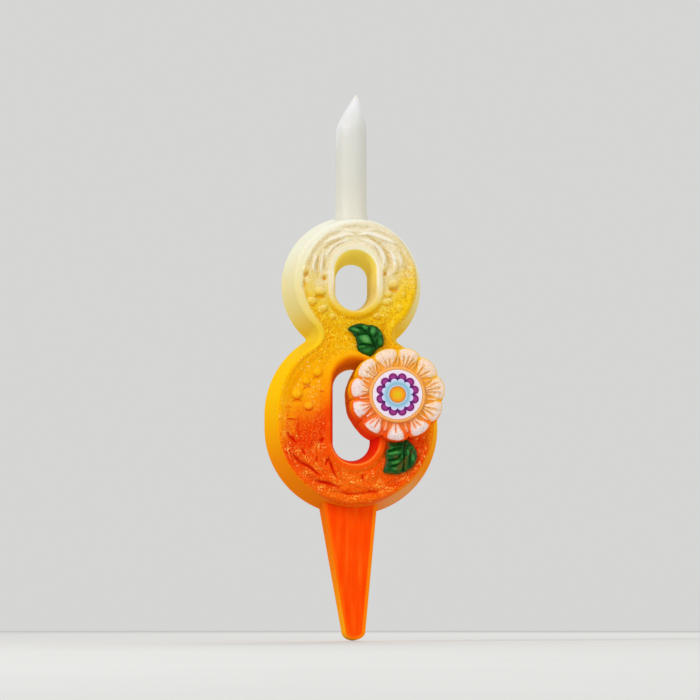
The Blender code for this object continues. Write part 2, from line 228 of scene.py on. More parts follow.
def inside_figure(x, z):
    """How far a point is inside the figure's outline at its back."""
    right = np.abs(x)
    upper = UPPER_RADIUS - np.hypot(right, z - UPPER_Z)
    lower_middle = np.clip(z, LOWER_BOTTOM_Z, LOWER_TOP_Z)
    lower = LOWER_RADIUS - np.hypot(right, z - lower_middle)
    waist = np.hypot(right - WAIST[0], z - WAIST[1]) - WAIST_FILLET
    above = (z - UPPER_Z) * WAIST[0] - right * (WAIST[1] - UPPER_Z) < 0
    below = (z - LOWER_TOP_Z) * WAIST[0] - right * (WAIST[1] - LOWER_TOP_Z) > 0
    return np.where(above & below, waist, np.maximum(upper, lower))


def outside_oblong(x, z, middle_z, half_width, half_height):
    straight = half_height - half_width
    nearest = np.clip(z, middle_z - straight, middle_z + straight)
    return np.hypot(x, z - nearest) - half_width


def inside_polygon(x, z, corners):
    """How far a point is inside a polygon, below zero outside it."""
    away = np.full(np.shape(x), 1e9)
    inside = np.zeros(np.shape(x), bool)
    for (ax, az), (bx, bz) in zip(corners, corners[1:] + corners[:1]):
        dx, dz = bx - ax, bz - az
        t = np.clip(((x - ax) * dx + (z - az) * dz) / (dx * dx + dz * dz), 0, 1)
        away = np.minimum(away, np.hypot(x - ax - t * dx, z - az - t * dz))
        if dz:
            crosses = (az > z) != (bz > z)
            inside ^= crosses & (x < ax + (z - az) * dx / dz)
    return np.where(inside, away, -away)


# ---------------------------------------------------------------- meshes


def at_depth(places, y):
    """Places (x, z) as points at a depth y."""
    return np.stack([places[:, 0], np.broadcast_to(y, len(places)), places[:, 1]], axis=1)


def edge_loops(faces):
    """The closed loops of the open edges of some faces, the longest first."""
    starts = faces.ravel()
    ends = np.roll(faces, -1, axis=1).ravel()
    size = int(faces.max()) + 1
    is_open = ~np.isin(starts * size + ends, ends * size + starts)
    after = dict(zip(starts[is_open].tolist(), ends[is_open].tolist()))
    loops = []
    while after:
        first = next(iter(after))
        loop = [first]
        step = after.pop(first)
        while step != first:
            loop.append(step)
            step = after.pop(step)
        loops.append(np.array(loop))
    return sorted(loops, key=len, reverse=True)


def slope(level, x, z):
    """How steeply a level rises along X and Z."""
    step = 0.01
    along_x = (level(x + step, z) - level(x - step, z)) / (2 * step)
    along_z = (level(x, z + step) - level(x, z - step)) / (2 * step)
    return along_x, along_z


def onto_edge(points, level):
    """Moves points to where a level is 0."""
    for _ in range(3):
        x, z = points.T
        gx, gz = slope(level, x, z)
        move = level(x, z) / np.maximum(gx * gx + gz * gz, 1e-6)
        points = points - np.stack([move * gx, move * gz], axis=1)
    return points


def level_grid(level, low, high, spacing, rounds=24):
    """An even grid of quads where a level is above 0, with its edge on level 0.

    Returns its points (x, z), its quads, and the loops of its edge.
    """
    x, z = np.meshgrid(
        np.arange(low[0], high[0], spacing), np.arange(low[1], high[1], spacing), indexing="ij"
    )
    inside = level(x, z) > 0
    cells = inside[:-1, :-1] & inside[1:, :-1] & inside[1:, 1:] & inside[:-1, 1:]
    number = np.arange(x.size).reshape(x.shape)
    i, j = np.nonzero(cells)
    corners = (number[i, j], number[i + 1, j], number[i + 1, j + 1], number[i, j + 1])
    used, quads = np.unique(np.stack(corners, axis=1), return_inverse=True)
    quads = quads.reshape(-1, 4)
    points = np.stack([x.ravel()[used], z.ravel()[used]], axis=1)
    loops = edge_loops(quads)
    first = np.concatenate([quads.ravel(), np.roll(quads, -1, axis=1).ravel()])
    second = np.roll(first, len(first) // 2)
    count = np.bincount(first)[:, None]
    for _ in range(rounds):
        sums = [np.bincount(first, points[second, axis]) for axis in (0, 1)]
        settled = np.stack(sums, axis=1) / count
        for loop in loops:
            beside = points[np.roll(loop, 1)] + points[np.roll(loop, -1)]
            settled[loop] = onto_edge(points[loop] / 2 + beside / 4, level)
        points = settled
    return points, quads, loops


class Shell:
    """The points and faces of one piece, gathered part by part, with painted values."""

    def __init__(self):
        self.points = []
        self.faces = []
        self.values = {}
        self.count = 0

    def add(self, points, **values):
        """Adds points with values, and returns their numbers."""
        points = np.asarray(points, float)
        for name in {**self.values, **values}:
            known = self.values.setdefault(name, [np.zeros(self.count)] if self.count else [])
            known.append(np.broadcast_to(np.asarray(values.get(name, 0.0), float), len(points)))
        self.points.append(points)
        numbers = np.arange(self.count, self.count + len(points))
        self.count += len(points)
        return numbers

    def side(self, rows):
        """Quads down through closed rows, facing out where the rows are anticlockwise loops."""
        for row, below in zip(rows, rows[1:]):
            self.faces.append(np.stack([np.roll(row, -1), row, below, np.roll(below, -1)], axis=1))

    def fan(self, point, row):
        """Triangles from a closed row to one more point."""
        middle = np.full(len(row), self.add([point])[0])
        self.faces.append(np.stack([middle, row, np.roll(row, -1)], axis=1))

    def build(self, name):
        points = np.concatenate(self.points) * MM
        mesh = bpy.data.meshes.new(name)
        faces = [face for part in self.faces for face in np.asarray(part).tolist()]
        mesh.from_pydata(points.tolist(), [], faces)
        for value_name, parts in self.values.items():
            attribute = mesh.attributes.new(value_name, "FLOAT", "POINT")
            attribute.data.foreach_set("value", np.concatenate(parts).astype(np.float32))
        mesh.shade_smooth()
        mesh.update()
        obj = bpy.data.objects.new(name, mesh)
        bpy.context.scene.collection.objects.link(obj)
        return obj

    def close_back(self, rings, inside, spacing, depth_at, **values):
        """Fills the back between closed rings, with points inside it about a spacing apart."""
        ring_numbers = np.concatenate(rings)
        known = np.concatenate(self.points)[ring_numbers][:, [0, 2]]
        low, high = known.min(axis=0), known.max(axis=0)
        x, z = np.meshgrid(np.arange(low[0], high[0], spacing), np.arange(low[1], high[1], spacing))
        x = (x + (np.arange(len(x)) % 2)[:, None] * spacing / 2).ravel()
        z = z.ravel()
        keep = inside(x, z) > spacing / 2
        x, z = x[keep], z[keep]
        flat = np.vstack([known, np.stack([x, z], axis=1)])
        edges = []
        start = 0
        for ring in rings:
            edges += [(start + i, start + (i + 1) % len(ring)) for i in range(len(ring))]
            start += len(ring)
        made = geometry.delaunay_2d_cdt([Vector(p) for p in flat.tolist()], edges, [], 0, 1e-7)
        added = self.add(np.stack([x, depth_at(x, z), z], axis=1), **values)
        numbers = np.concatenate([ring_numbers, added])
        source = [numbers[group[0]] if group else -1 for group in made[3]]
        corners = np.array([(p.x, p.y) for p in made[0]])
        faces = np.array(made[2])
        middle = corners[faces].mean(axis=1)
        faces = faces[inside(middle[:, 0], middle[:, 1]) > 0]
        a, b, c = (corners[faces[:, k]] for k in range(3))
        turn = (b[:, 0] - a[:, 0]) * (c[:, 1] - a[:, 1]) - (b[:, 1] - a[:, 1]) * (c[:, 0] - a[:, 0])
        faces = np.where((turn > 0)[:, None], faces[:, ::-1], faces)
        self.faces.append(np.array(source)[faces])


def edge_normals(points, level):
    """Unit directions out of a level's edge."""
    gx, gz = slope(level, *points.T)
    size = np.hypot(gx, gz)
    return np.stack([-gx / size, -gz / size], axis=1)


def plate_rows(depth, draft, edge_round, wall_rows):
    """The rows of a drafted plate's side, from its rounded front edge to its rounded back edge.

    Each row is its depth behind the front, how much wider it is than the front face, and how much
    of the front's relief it keeps.
    """
    rows = []
    full = draft * (1 - edge_round / depth) + edge_round
    for angle in np.radians(np.arange(12, 85, 12)):
        rows.append((edge_round * (1 - math.cos(angle)), edge_round * math.sin(angle),
                     1 - math.sin(angle)))
    for share in np.linspace(0, 1, wall_rows):
        behind = mix(edge_round, depth - BACK_ROUND, share)
        rows.append((behind, full - draft * (1 - behind / depth), 0.0))
    for angle in np.radians((30, 60, 90)):
        rows.append((depth - BACK_ROUND * (1 - math.sin(angle)),
                     full - BACK_ROUND * (1 - math.cos(angle)), 0.0))
    return rows


# ---------------------------------------------------------------- the figure's relief

# Strokes are (path, half width, height); beads are (centre, radius, height, stretch, turn).
UPPER_STROKES = (
    # the fan over the opening, to the right
    (((0.6, 82.9), (3.1, 83.5), (5.6, 83.8), (8.4, 83.2), (10.2, 82.1)), 0.55, 0.4),
    (((0.6, 82.0), (3.0, 82.6), (5.6, 82.3), (8.0, 81.4), (10.4, 80.5), (12.3, 79.4)), 0.85, 0.65),
    (((3.0, 82.3), (5.5, 80.7), (7.6, 79.3), (8.9, 77.6), (9.8, 75.1), (10.0, 73.4), (9.6, 72.2)),
     0.6, -0.6),
    (((1.0, 80.9), (3.6, 80.4), (5.9, 79.0), (7.8, 76.9), (8.5, 74.6), (8.0, 72.7)), 1.0, 0.65),
    (((4.9, 80.0), (6.6, 77.4), (7.1, 75.4), (7.0, 73.6)), 0.45, -0.4),
    (((9.6, 78.2), (11.0, 76.6), (11.7, 74.2), (11.6, 71.8), (11.0, 70.6)), 0.9, 0.6),
    (((11.4, 78.6), (13.0, 76.4), (13.5, 74.0), (13.2, 71.6)), 0.6, 0.4),
    (((12.6, 78.0), (14.5, 75.2), (15.0, 72.4), (14.6, 70.0)), 0.4, -0.25),
    # the fan to the left
    (((0.2, 82.9), (-2.4, 83.6), (-4.9, 83.5), (-7.2, 82.6)), 0.55, 0.35),
    (((0.2, 82.2), (-2.2, 82.3), (-4.9, 81.6), (-7.4, 80.7), (-9.6, 79.6)), 0.75, 0.5),
    (((-3.1, 80.9), (-5.9, 80.0), (-8.4, 78.6), (-9.2, 77.6)), 0.5, -0.45),
    (((-0.6, 80.8), (-3.4, 80.3), (-6.0, 79.0), (-8.0, 77.0), (-8.6, 74.6)), 0.8, 0.5),
    (((-3.1, 80.0), (-5.4, 79.0), (-7.1, 77.8)), 0.4, -0.35),
    (((-11.3, 75.9), (-12.1, 74.2), (-12.5, 72.5), (-12.1, 70.8)), 0.6, 0.55),
    (((-10.4, 76.8), (-11.1, 75.1), (-11.3, 72.5), (-11.1, 70.0), (-10.8, 68.6)), 0.45, -0.4),
    (((-9.3, 77.6), (-9.8, 75.1), (-10.2, 72.5), (-9.9, 70.4)), 0.6, 0.5),
    (((-12.6, 77.6), (-13.5, 75.6), (-13.9, 73.3)), 0.5, 0.35),
    (((-9.6, 75.8), (-9.1, 73.4), (-9.2, 71.6)), 0.4, -0.3),
    (((-13.0, 79.0), (-14.6, 76.6), (-15.2, 74.2)), 0.4, -0.2),
)
UPPER_BEADS = (
    ((-14.7, 71.9), 0.9, 0.4, 1.3, 40), ((-14.7, 70.3), 0.6, -0.4, 1.5, 40),
    ((-9.2, 70.6), 0.7, 0.35, 1.0, 0), ((-9.2, 69.2), 0.55, -0.4, 1.1, 0),
    ((-10.4, 65.4), 1.1, 0.6, 1.5, 5), ((-10.5, 63.7), 0.6, -0.45, 2.4, 0),
    ((-12.9, 62.4), 1.1, 0.6, 1.2, -20), ((-9.8, 60.1), 1.0, 0.55, 1.5, 25),
    ((-6.8, 57.8), 0.9, 0.5, 1.0, 0), ((8.3, 72.4), 0.8, 0.45, 1.1, 0),
    ((8.4, 70.7), 0.7, -0.45, 1.2, 0), ((11.7, 72.2), 1.0, 0.4, 1.5, 75),
    ((11.3, 67.7), 1.3, 0.65, 1.1, 0), ((11.3, 66.0), 0.8, -0.5, 1.6, 0),
    ((9.8, 64.7), 0.9, 0.5, 1.3, 15), ((9.5, 62.4), 1.0, 0.55, 1.5, 10),
    ((14.2, 64.6), 0.8, 0.4, 1.0, 0), ((6.6, 58.0), 0.9, 0.4, 1.2, 0),
    ((-15.2, 67.2), 0.6, -0.3, 3.0, 84), ((13.0, 60.6), 0.9, 0.4, 1.4, 60),
)
LOWER_STROKES = (
    (((-19.2, 38.4), (-18.0, 42.2), (-15.6, 45.2), (-12.5, 47.8), (-9.0, 50.2), (-5.6, 51.9)),
     1.5, -0.3),
    (((13.0, 54.8), (15.4, 59.8), (16.0, 62.8)), 1.3, -0.25),
    (((-20.4, 27.7), (-18.9, 28.0), (-17.5, 27.5)), 0.55, 0.5),
    # the long cuts at the lower left
    (((-18.3, 17.4), (-17.2, 16.0), (-16.1, 14.9), (-14.3, 14.0), (-12.9, 13.1), (-11.5, 11.9),
      (-9.9, 10.9)), 0.68, -1.0),
    (((-11.7, 9.4), (-10.4, 9.2), (-8.6, 8.9), (-7.0, 8.4), (-4.5, 7.5)), 0.75, -1.0),
    (((-4.7, 6.3), (-2.9, 5.8), (-1.6, 5.6), (1.5, 5.8), (4.5, 6.3)), 0.6, -0.5),
    (((-7.9, 16.2), (-7.2, 14.5), (-6.7, 12.9), (-5.4, 10.1)), 0.62, -0.85),
    (((-7.9, 16.2), (-8.3, 15.4), (-9.0, 13.8)), 0.6, -0.65),
    (((-11.3, 16.6), (-11.4, 15.7), (-11.3, 14.8)), 0.52, -0.5),
    (((-15.9, 19.2), (-15.2, 18.0), (-14.7, 16.7)), 0.6, -0.65),
    (((-20.1, 23.9), (-19.4, 22.6), (-18.2, 21.4), (-17.0, 20.3)), 0.75, -0.8),
    (((-18.7, 14.8), (-17.9, 13.1), (-16.8, 11.6)), 0.65, -0.45),
    (((-9.3, 22.3), (-9.9, 21.4), (-10.8, 20.5)), 1.17, -0.6),
    (((-16.8, 28.0), (-16.7, 24.3), (-15.8, 20.9)), 0.65, -0.4),
    (((11.3, 7.9), (12.5, 8.4), (13.6, 9.2)), 0.78, -0.8),
    (((15.2, 10.7), (16.0, 11.3), (16.8, 12.1)), 0.65, -0.6),
    (((3.2, 6.6), (5.0, 6.3), (6.9, 6.2)), 0.59, -0.5),
    (((2.3, 11.6), (2.1, 10.5), (2.5, 9.3)), 0.72, -0.6),
    # the ridges beside them
    (((-12.3, 24.3), (-13.0, 21.7), (-13.5, 19.2), (-14.0, 17.5)), 0.9, 0.55),
    (((-18.5, 25.5), (-17.8, 23.1), (-16.4, 21.7)), 0.9, 0.45),
    (((-16.8, 13.1), (-14.2, 11.6), (-11.6, 10.6), (-8.6, 10.0), (-5.6, 9.5)), 0.9, 0.55),
    (((-14.6, 9.9), (-11.6, 8.0), (-8.2, 6.8), (-5.0, 6.5)), 0.8, 0.45),
    (((-13.6, 16.4), (-11.6, 14.4), (-9.6, 12.9), (-7.9, 11.8)), 0.9, 0.6),
    (((-16.8, 18.3), (-15.8, 16.4), (-14.2, 15.3)), 0.7, 0.5),
    (((-10.3, 18.7), (-10.4, 16.2), (-9.9, 14.2)), 0.6, 0.45),
    (((-6.0, 14.7), (-5.1, 12.1), (-4.0, 9.9)), 0.7, 0.5),
    (((-3.2, 10.4), (-0.6, 8.7), (2.2, 7.8), (5.6, 7.9)), 0.8, 0.5),
    (((6.8, 7.0), (10.3, 7.2), (13.3, 8.7)), 0.7, 0.5),
    (((8.4, 9.6), (11.2, 9.9), (14.0, 11.0)), 0.7, 0.4),
    (((-19.8, 20.1), (-18.9, 18.2), (-18.3, 15.8)), 0.5, 0.4),
    (((-12.2, 21.7), (-11.5, 19.8), (-11.7, 17.8)), 0.6, 0.4),
    (((18.5, 14.7), (19.9, 18.3), (20.2, 22.1)), 0.7, 0.3),
    (((-8.6, 18.6), (-8.0, 17.0), (-7.9, 16.2)), 0.5, 0.35),
    (((-15.6, 26.6), (-14.6, 24.4), (-14.5, 22.2)), 0.5, 0.35),
    (((-20.8, 31.2), (-19.6, 31.4), (-18.4, 31.0)), 0.45, 0.3),
)
LOWER_BEADS = (
    ((-11.2, 41.4), 1.3, 0.8, 1.0, 0), ((-14.5, 38.8), 1.2, 0.75, 1.0, 0),
    ((-17.3, 35.0), 1.6, 1.0, 1.0, 0), ((-13.9, 31.4), 1.3, 0.8, 1.0, 0),
    ((-11.6, 39.4), 0.7, -0.4, 1.5, 0), ((-14.3, 36.5), 0.8, -0.5, 1.6, 25),
    ((-17.2, 32.6), 0.8, -0.4, 2.0, 0), ((4.8, 11.3), 1.5, 0.55, 1.5, 35),
    ((-9.7, 45.4), 0.5, -0.3, 1.3, 0), ((-8.5, 45.6), 0.4, -0.25, 1.0, 0),
    ((-10.8, 47.1), 0.4, -0.25, 1.2, 30), ((-18.4, 42.8), 0.6, 0.35, 1.3, 50),
    ((-20.9, 37.4), 0.7, 0.35, 1.4, 70), ((-9.9, 36.4), 0.7, 0.3, 1.2, 20),
)
# The upper loop's strokes and beads are this much broader and higher than listed.
UPPER_STROKE_SPREAD = 1.2
UPPER_BEAD_SPREAD = 1.1
UPPER_BEAD_RISE = 1.35
# How far the field is sunk, how much deeper the ditch round it is, and how high the rims are.
FIELD_SINK = 0.5
DITCH_SINK = 0.18
RIM_RISE = 0.4
# Where gold glitter has gathered on the lower loop.
GLITTER_SPOTS = (
    (-21.6, 33.5), (-21.6, 28.4), (-13.2, 34.9), (-12.2, 31.4), (-10.8, 19.8), (-17.5, 18.3),
    (-19.6, 18.3), (-14.5, 15.9), (-11.2, 13.8), (-13.9, 11.9), (-10.1, 7.4), (-6.7, 6.5),
    (-4.8, 8.7), (-1.2, 9.8), (-3.6, 11.5), (1.0, 9.4), (10.1, 6.6), (0.0, 4.9), (14.7, 10.8),
    (18.4, 13.5), (20.4, 18.2), (7.0, 8.8), (-20.6, 23.4), (-9.8, 47.8),
)


def glitter(x, z):
    """How much gold glitter has gathered at a point, from 0 to 1."""
    amount = np.zeros(np.shape(x))
    for spot_x, spot_z in GLITTER_SPOTS:
        amount = np.maximum(amount, hump(np.hypot(x - spot_x, (z - spot_z) * 1.2), 3.0))
    return amount


def opening_distances(x, z):
    """How far a point is outside each opening's wall at the front."""
    return [outside_oblong(x, z, *opening) for opening in OPENINGS]


def figure_face(x, z):
    """Above 0 on the figure's flat front, between its rounded edges."""
    upper, lower = opening_distances(x, z)
    return np.minimum(inside_figure(x, z) - FRONT_INSET, np.minimum(upper, lower) - OPENING_ROUND)


def figure_pattern(x, z):
    """The scrolls and the beads on the figure's front, above or below its field."""
    scrolls, beads = np.zeros(np.shape(x)), np.zeros(np.shape(x))
    for path, width, rise in UPPER_STROKES:
        scrolls = scrolls + stroke(x, z, path, width * UPPER_STROKE_SPREAD, rise)
    for path, width, rise in LOWER_STROKES:
        scrolls = scrolls + stroke(x, z, path, width, rise)
    for centre, radius, rise, stretch, turn in UPPER_BEADS:
        radius, rise = radius * UPPER_BEAD_SPREAD, rise * UPPER_BEAD_RISE
        beads = beads + bead(x, z, centre, radius, rise, stretch, turn)
    for centre, radius, rise, stretch, turn in LOWER_BEADS:
        beads = beads + bead(x, z, centre, radius, rise, stretch, turn)
    inset = inside_figure(x, z) - FRONT_INSET
    opening = np.minimum(*opening_distances(x, z))
    room = smoothstep(0.0, 0.8, inset) * smoothstep(1.6, 2.6, opening)
    return scrolls * room, beads * room


def figure_relief(x, z):
    """How far the figure's front stands out at a point."""
    inset = inside_figure(x, z) - FRONT_INSET
    opening = np.minimum(*opening_distances(x, z))
    margin = 0.1 + 1.2 * smoothstep(2, -12, x) * smoothstep(56, 60, z)
    off_rim = smoothstep(2.0, 3.0, opening)
    field = smoothstep(margin, margin + 1.2, inset) * off_rim
    ditch = hump(inset - margin - 1.3, 0.9) * off_rim
    height = RIM_RISE * hump(opening - 1.3, 1.2) - 0.2 * hump(opening - 2.9, 0.7) * (inset > 0)
    height = height - FIELD_SINK * field - DITCH_SINK * ditch
    uneven = 0.07 * wobble(x, 0, z, 2.2, 3.0) + 0.06 * wobble(x, 0, z, 0.9, 9.0)
    scrolls, beads = figure_pattern(x, z)
    return height + scrolls + beads + uneven * smoothstep(0.0, 0.6, inset)


def oblong_to_oblong(points, old, new):
    """Points round one upright oblong, moved to another. Both are (middle z, half w, half h)."""
    x, z = points.T
    old_straight, new_straight = old[2] - old[1], new[2] - new[1]
    nearest = np.clip(z, old[0] - old_straight, old[0] + old_straight)
    across = np.stack([x, z - nearest], axis=1) * (new[1] / old[1])
    along = new[0] + (nearest - old[0]) * new_straight / old_straight
    return np.stack([across[:, 0], across[:, 1] + along], axis=1)


def figure_back_y(x, z):
    """The poured back: a little sunk between its edges, and uneven."""
    inset = inside_back(x, z)
    sink = 0.28 * smoothstep(0.0, 3.5, inset) + 0.06 * (1 + wobble(x, 5, z, 5.0, 2.0))
    return BACK_Y - sink * smoothstep(0.0, 0.8, inset)


def back_opening(opening):
    """An opening where it comes out at the back."""
    return (
        opening[0] - OPENING_DROP,
        opening[1] - OPENING_DRAFT[0],
        opening[2] - OPENING_DRAFT[1],
    )


def inside_back(x, z):
    """How far a point is inside the flat of the figure's back."""
    upper, lower = [outside_oblong(x, z, *back_opening(opening)) for opening in OPENINGS]
    return np.minimum(inside_figure(x, z), np.minimum(upper, lower)) - BACK_ROUND


def opening_rows():
    """The rows of an opening's wall: depth, how much wider than the wall, and relief kept."""
    rows = []
    for angle in np.radians(np.arange(15, 91, 15)):
        behind = OPENING_ROUND * (1 - math.cos(angle))
        rows.append((behind, OPENING_ROUND * (1 - math.sin(angle)), 1 - math.sin(angle)))
    for share in np.linspace(0, 1, 18)[1:]:
        rows.append((mix(OPENING_ROUND, FIGURE_DEPTH - BACK_ROUND, share), 0.0, 0.0))
    for angle in np.radians((30, 60, 90)):
        behind = FIGURE_DEPTH - BACK_ROUND * (1 - math.sin(angle))
        rows.append((behind, BACK_ROUND * (1 - math.cos(angle)), 0.0))
    return rows


# Values of the inset for the paint: well inside the front, and on the back.
INSIDE = 9.0
ON_THE_BACK = -9.0


def add_outer_side(shell, first, edge, height):
    """The figure's outer side, down from a row of the front's edge. Returns its row at the back."""
    outward = edge_normals(edge, figure_face)
    rows = [first]
    for behind, wider, kept in plate_rows(FIGURE_DEPTH, FIGURE_DRAFT, EDGE_ROUND, 20):
        place = edge + outward * wider
        dent = 0.07 * (1 + wobble(place[:, 0], behind, place[:, 1], 7.0)) * (kept == 0)
        place = place - outward * (dent * smoothstep(FIGURE_DEPTH, 12, behind))[:, None]
        inset = -wider - 0.35 * max(0.0, behind - EDGE_ROUND)
        rows.append(shell.add(at_depth(place, FRONT_Y + behind - height * kept), inset=inset))
    shell.side(rows)
    return rows[-1]


def add_opening_side(shell, first, edge, height):
    """An opening's wall, down from a row of the front's edge. Returns its row at the back."""
    middle_z = edge[:, 1].mean()
    opening = min(OPENINGS, key=lambda item: abs(item[0] - middle_z))
    front = (opening[0], opening[1] + OPENING_ROUND, opening[2] + OPENING_ROUND)
    rows = [first]
    for behind, wider, kept in opening_rows():
        share = behind / FIGURE_DEPTH
        new = (
            opening[0] - OPENING_DROP * share,
            opening[1] - OPENING_DRAFT[0] * share + wider,
            opening[2] - OPENING_DRAFT[1] * share + wider,
        )
        rows.append(shell.add(
            at_depth(oblong_to_oblong(edge, front, new), FRONT_Y + behind - height * kept),
            inset=INSIDE if kept > 0 else ON_THE_BACK,
            hole=1 - kept if behind < FIGURE_DEPTH - 0.01 else 0.0,
            rim=1.0,
        ))
    shell.side(rows)
    return rows[-1]


def make_digit():
    """The figure, with its paint's guides: inset, under, pattern, bead, gold, rim and hole."""
    shell = Shell()
    reach = LOWER_RADIUS - FRONT_INSET + 1
    points, quads, loops = level_grid(
        figure_face, (-reach, 0.0), (reach, UPPER_Z + UPPER_RADIUS), 0.24
    )
    x, z = points.T
    height = figure_relief(x, z)
    down = (figure_relief(x, z + 0.15) - figure_relief(x, z - 0.15)) / 0.3
    scrolls, beads = figure_pattern(x, z)
    near_opening = np.minimum(*opening_distances(x, z))
    face = shell.add(
        at_depth(points, FRONT_Y - height),
        inset=inside_figure(x, z) - FRONT_INSET, under=np.clip(down, -1, 1),
        pattern=scrolls, bead=beads,
        gold=glitter(x, z), rim=hump(near_opening - 1.3, 1.3),
    )
    shell.faces.append(quads)
    rings = []
    for loop in loops:
        is_outer = np.abs(points[loop, 0]).max() > 12
        add_side = add_outer_side if is_outer else add_opening_side
        rings.append(add_side(shell, face[loop], points[loop], height[loop]))
    shell.close_back(rings, inside_back, 0.9, figure_back_y, inset=ON_THE_BACK)
    return shell.build("digit_wax")


# ---------------------------------------------------------------- the stem and the wick


def lean(z):
    """How far the stem's tip leans to the right at a height."""
    rise = np.maximum(0.0, z - LEAN_START_Z) / (WICK_TOP_Z - LEAN_START_Z)
    return LEAN * rise**1.5


def make_stem():
    """The turned stem, with shallow dents from its mould and a flat back."""
    shell = Shell()
    profile = smooth_path(STEM_PROFILE, 8)
    turns = np.radians(np.arange(0, 360, 3.75))
    x, y = np.cos(turns), np.sin(turns)
    rows = []
    for radius, z in profile:
        dent = 0.10 * wobble(x * 3, y * 3, np.full(len(turns), z / 2.5), 2.2, 5.0)
        flutes = 0.06 * np.cos(turns * 7 + 0.4) * smoothstep(88, 92, z) * smoothstep(121, 116, z)
        size = radius - (0.1 + dent + flutes) * min(1.0, radius / 4)
        place = np.stack([STEM_X + lean(z) + size * x, size * y, np.full(len(turns), z)], axis=1)
        flat = BACK_Y - 0.05 - 0.9 * smoothstep(89.9, 89.2, z)
        place[:, 1] = np.minimum(place[:, 1], flat)
        rows.append(shell.add(place))
    top_z = profile[0][1]
    shell.fan((STEM_X + lean(top_z), 0, top_z + 0.15), rows[0])
    shell.side(rows)
    shell.faces.append([rows[-1][::-1]])
    return shell.build("stem_wax")


def make_wick():
    """A waxed wick of strands twisted round each other."""
    shell = Shell()
    high_z = WICK_TOP_Z - 0.3
    around = np.radians(np.arange(0, 360, 24))
    for strand in range(WICK_STRANDS):
        rows = []
        for z in np.arange(WICK_LOW_Z, high_z, 0.12):
            angle = math.tau * (strand / WICK_STRANDS + z / WICK_TURN_HEIGHT)
            narrow = 1 - 0.35 * smoothstep(high_z - 1.4, high_z, z)
            offset = WICK_STRAND_OFFSET * narrow
            ending = math.sqrt(1 - 0.9 * smoothstep(high_z - 0.5, high_z, z))
            size = WICK_STRAND_RADIUS * narrow * ending
            rows.append(shell.add(np.stack([
                STEM_X + lean(z) + offset * math.cos(angle) + size * np.cos(around),
                offset * math.sin(angle) + size * np.sin(around),
                np.full(len(around), z),
            ], axis=1)))
        shell.faces.append([rows[0][::-1]])
        shell.side(rows[::-1])
        shell.faces.append([rows[-1]])
    return shell.build("wick_braid")


# ---------------------------------------------------------------- the stake


def stake_outline():
    """The stake's outline at its back: tapered sides and a round end."""
    rise = STAKE_BLANK_Z / -STAKE_END_Z
    half = STAKE_TOP[1] + (STAKE_TOP[1] - STAKE_END[1]) * rise
    middle = STAKE_TOP[0] + (STAKE_TOP[0] - STAKE_END[0]) * rise
    end = [
        (STAKE_END[0] + STAKE_END[1] * math.cos(a),
         STAKE_END_Z + (STAKE_END_Z - STAKE_TIP_Z) * math.sin(a))
        for a in np.radians(np.arange(0, -181, -7.5))
    ]
    return end + [(middle - half, STAKE_BLANK_Z), (middle + half, STAKE_BLANK_Z)]


STAKE_OUTLINE = stake_outline()


def stake_draft(z):
    """How much narrower the stake is at its front than at its back, on each side."""
    return mix(STAKE_END[2], STAKE_TOP[2], np.clip(1 - z / STAKE_END_Z, 0, 1))


def stake_face(x, z):
    """Above 0 on the stake's flat front."""
    return inside_polygon(x, z, STAKE_OUTLINE) - stake_draft(z) - STAKE_ROUND


def stake_relief(x, z):
    """Two shallow channels beside a flat ridge down the front, fading out at both ends."""
    middle = mix(STAKE_TOP[0], STAKE_END[0], np.clip(z / STAKE_END_Z, 0, 1))
    ends = smoothstep(-33, -26, z) * smoothstep(0.5, -4, z)
    across = np.abs(x - middle)
    channel = -0.22 * hump(across - 1.9, 1.1) * ends
    uneven = 0.08 * wobble(x * 2.2, 0, z / 3, 2.0, 4.0)
    return channel + uneven * smoothstep(0, 0.8, stake_face(x, z)) - 0.05


def figure_foot(x, y):
    """The height of the figure's underside above a point of the stake."""
    radius = LOWER_RADIUS - FIGURE_DRAFT * np.clip((BACK_Y - y) / FIGURE_DEPTH, 0, 1)
    return LOWER_BOTTOM_Z - np.sqrt(radius**2 - x**2)


def make_stake():
    """The stake, its top drawn up against the figure's round underside."""
    shell = Shell()
    low = (min(x for x, _ in STAKE_OUTLINE), STAKE_TIP_Z)
    high = (max(x for x, _ in STAKE_OUTLINE), STAKE_BLANK_Z)
    points, quads, loops = level_grid(stake_face, low, high, 0.3)
    front_y = BACK_Y - STAKE_DEPTH

    def add(x, y, z, **values):
        top = figure_foot(x, y) + 0.05
        return shell.add(np.stack([x, y, np.minimum(z, top)], axis=1), **values)

    x, z = points.T
    height = stake_relief(x, z)
    face = add(x, front_y - height, z, face=1.0, edge=np.clip(stake_face(x, z), 0, 2))
    shell.faces.append(quads)
    edge = points[loops[0]]
    outward = edge_normals(edge, stake_face)
    rows = [face[loops[0]]]
    kept_height = height[loops[0]]
    widening = stake_draft(edge[:, 1]) / STAKE_TOP[2]
    for behind, wider, kept in plate_rows(STAKE_DEPTH, STAKE_TOP[2], STAKE_ROUND, 14):
        drafted = max(0.0, wider - STAKE_ROUND)
        reach = (wider - drafted) + drafted * widening
        place = edge + outward * reach[:, None]
        y = front_y + behind - kept_height * kept
        rows.append(add(place[:, 0], y, place[:, 1], face=kept))
    shell.side(rows)
    shell.faces.append([rows[-1][::-1]])
    return shell.build("stake_wax")


# ---------------------------------------------------------------- the flower and its disc


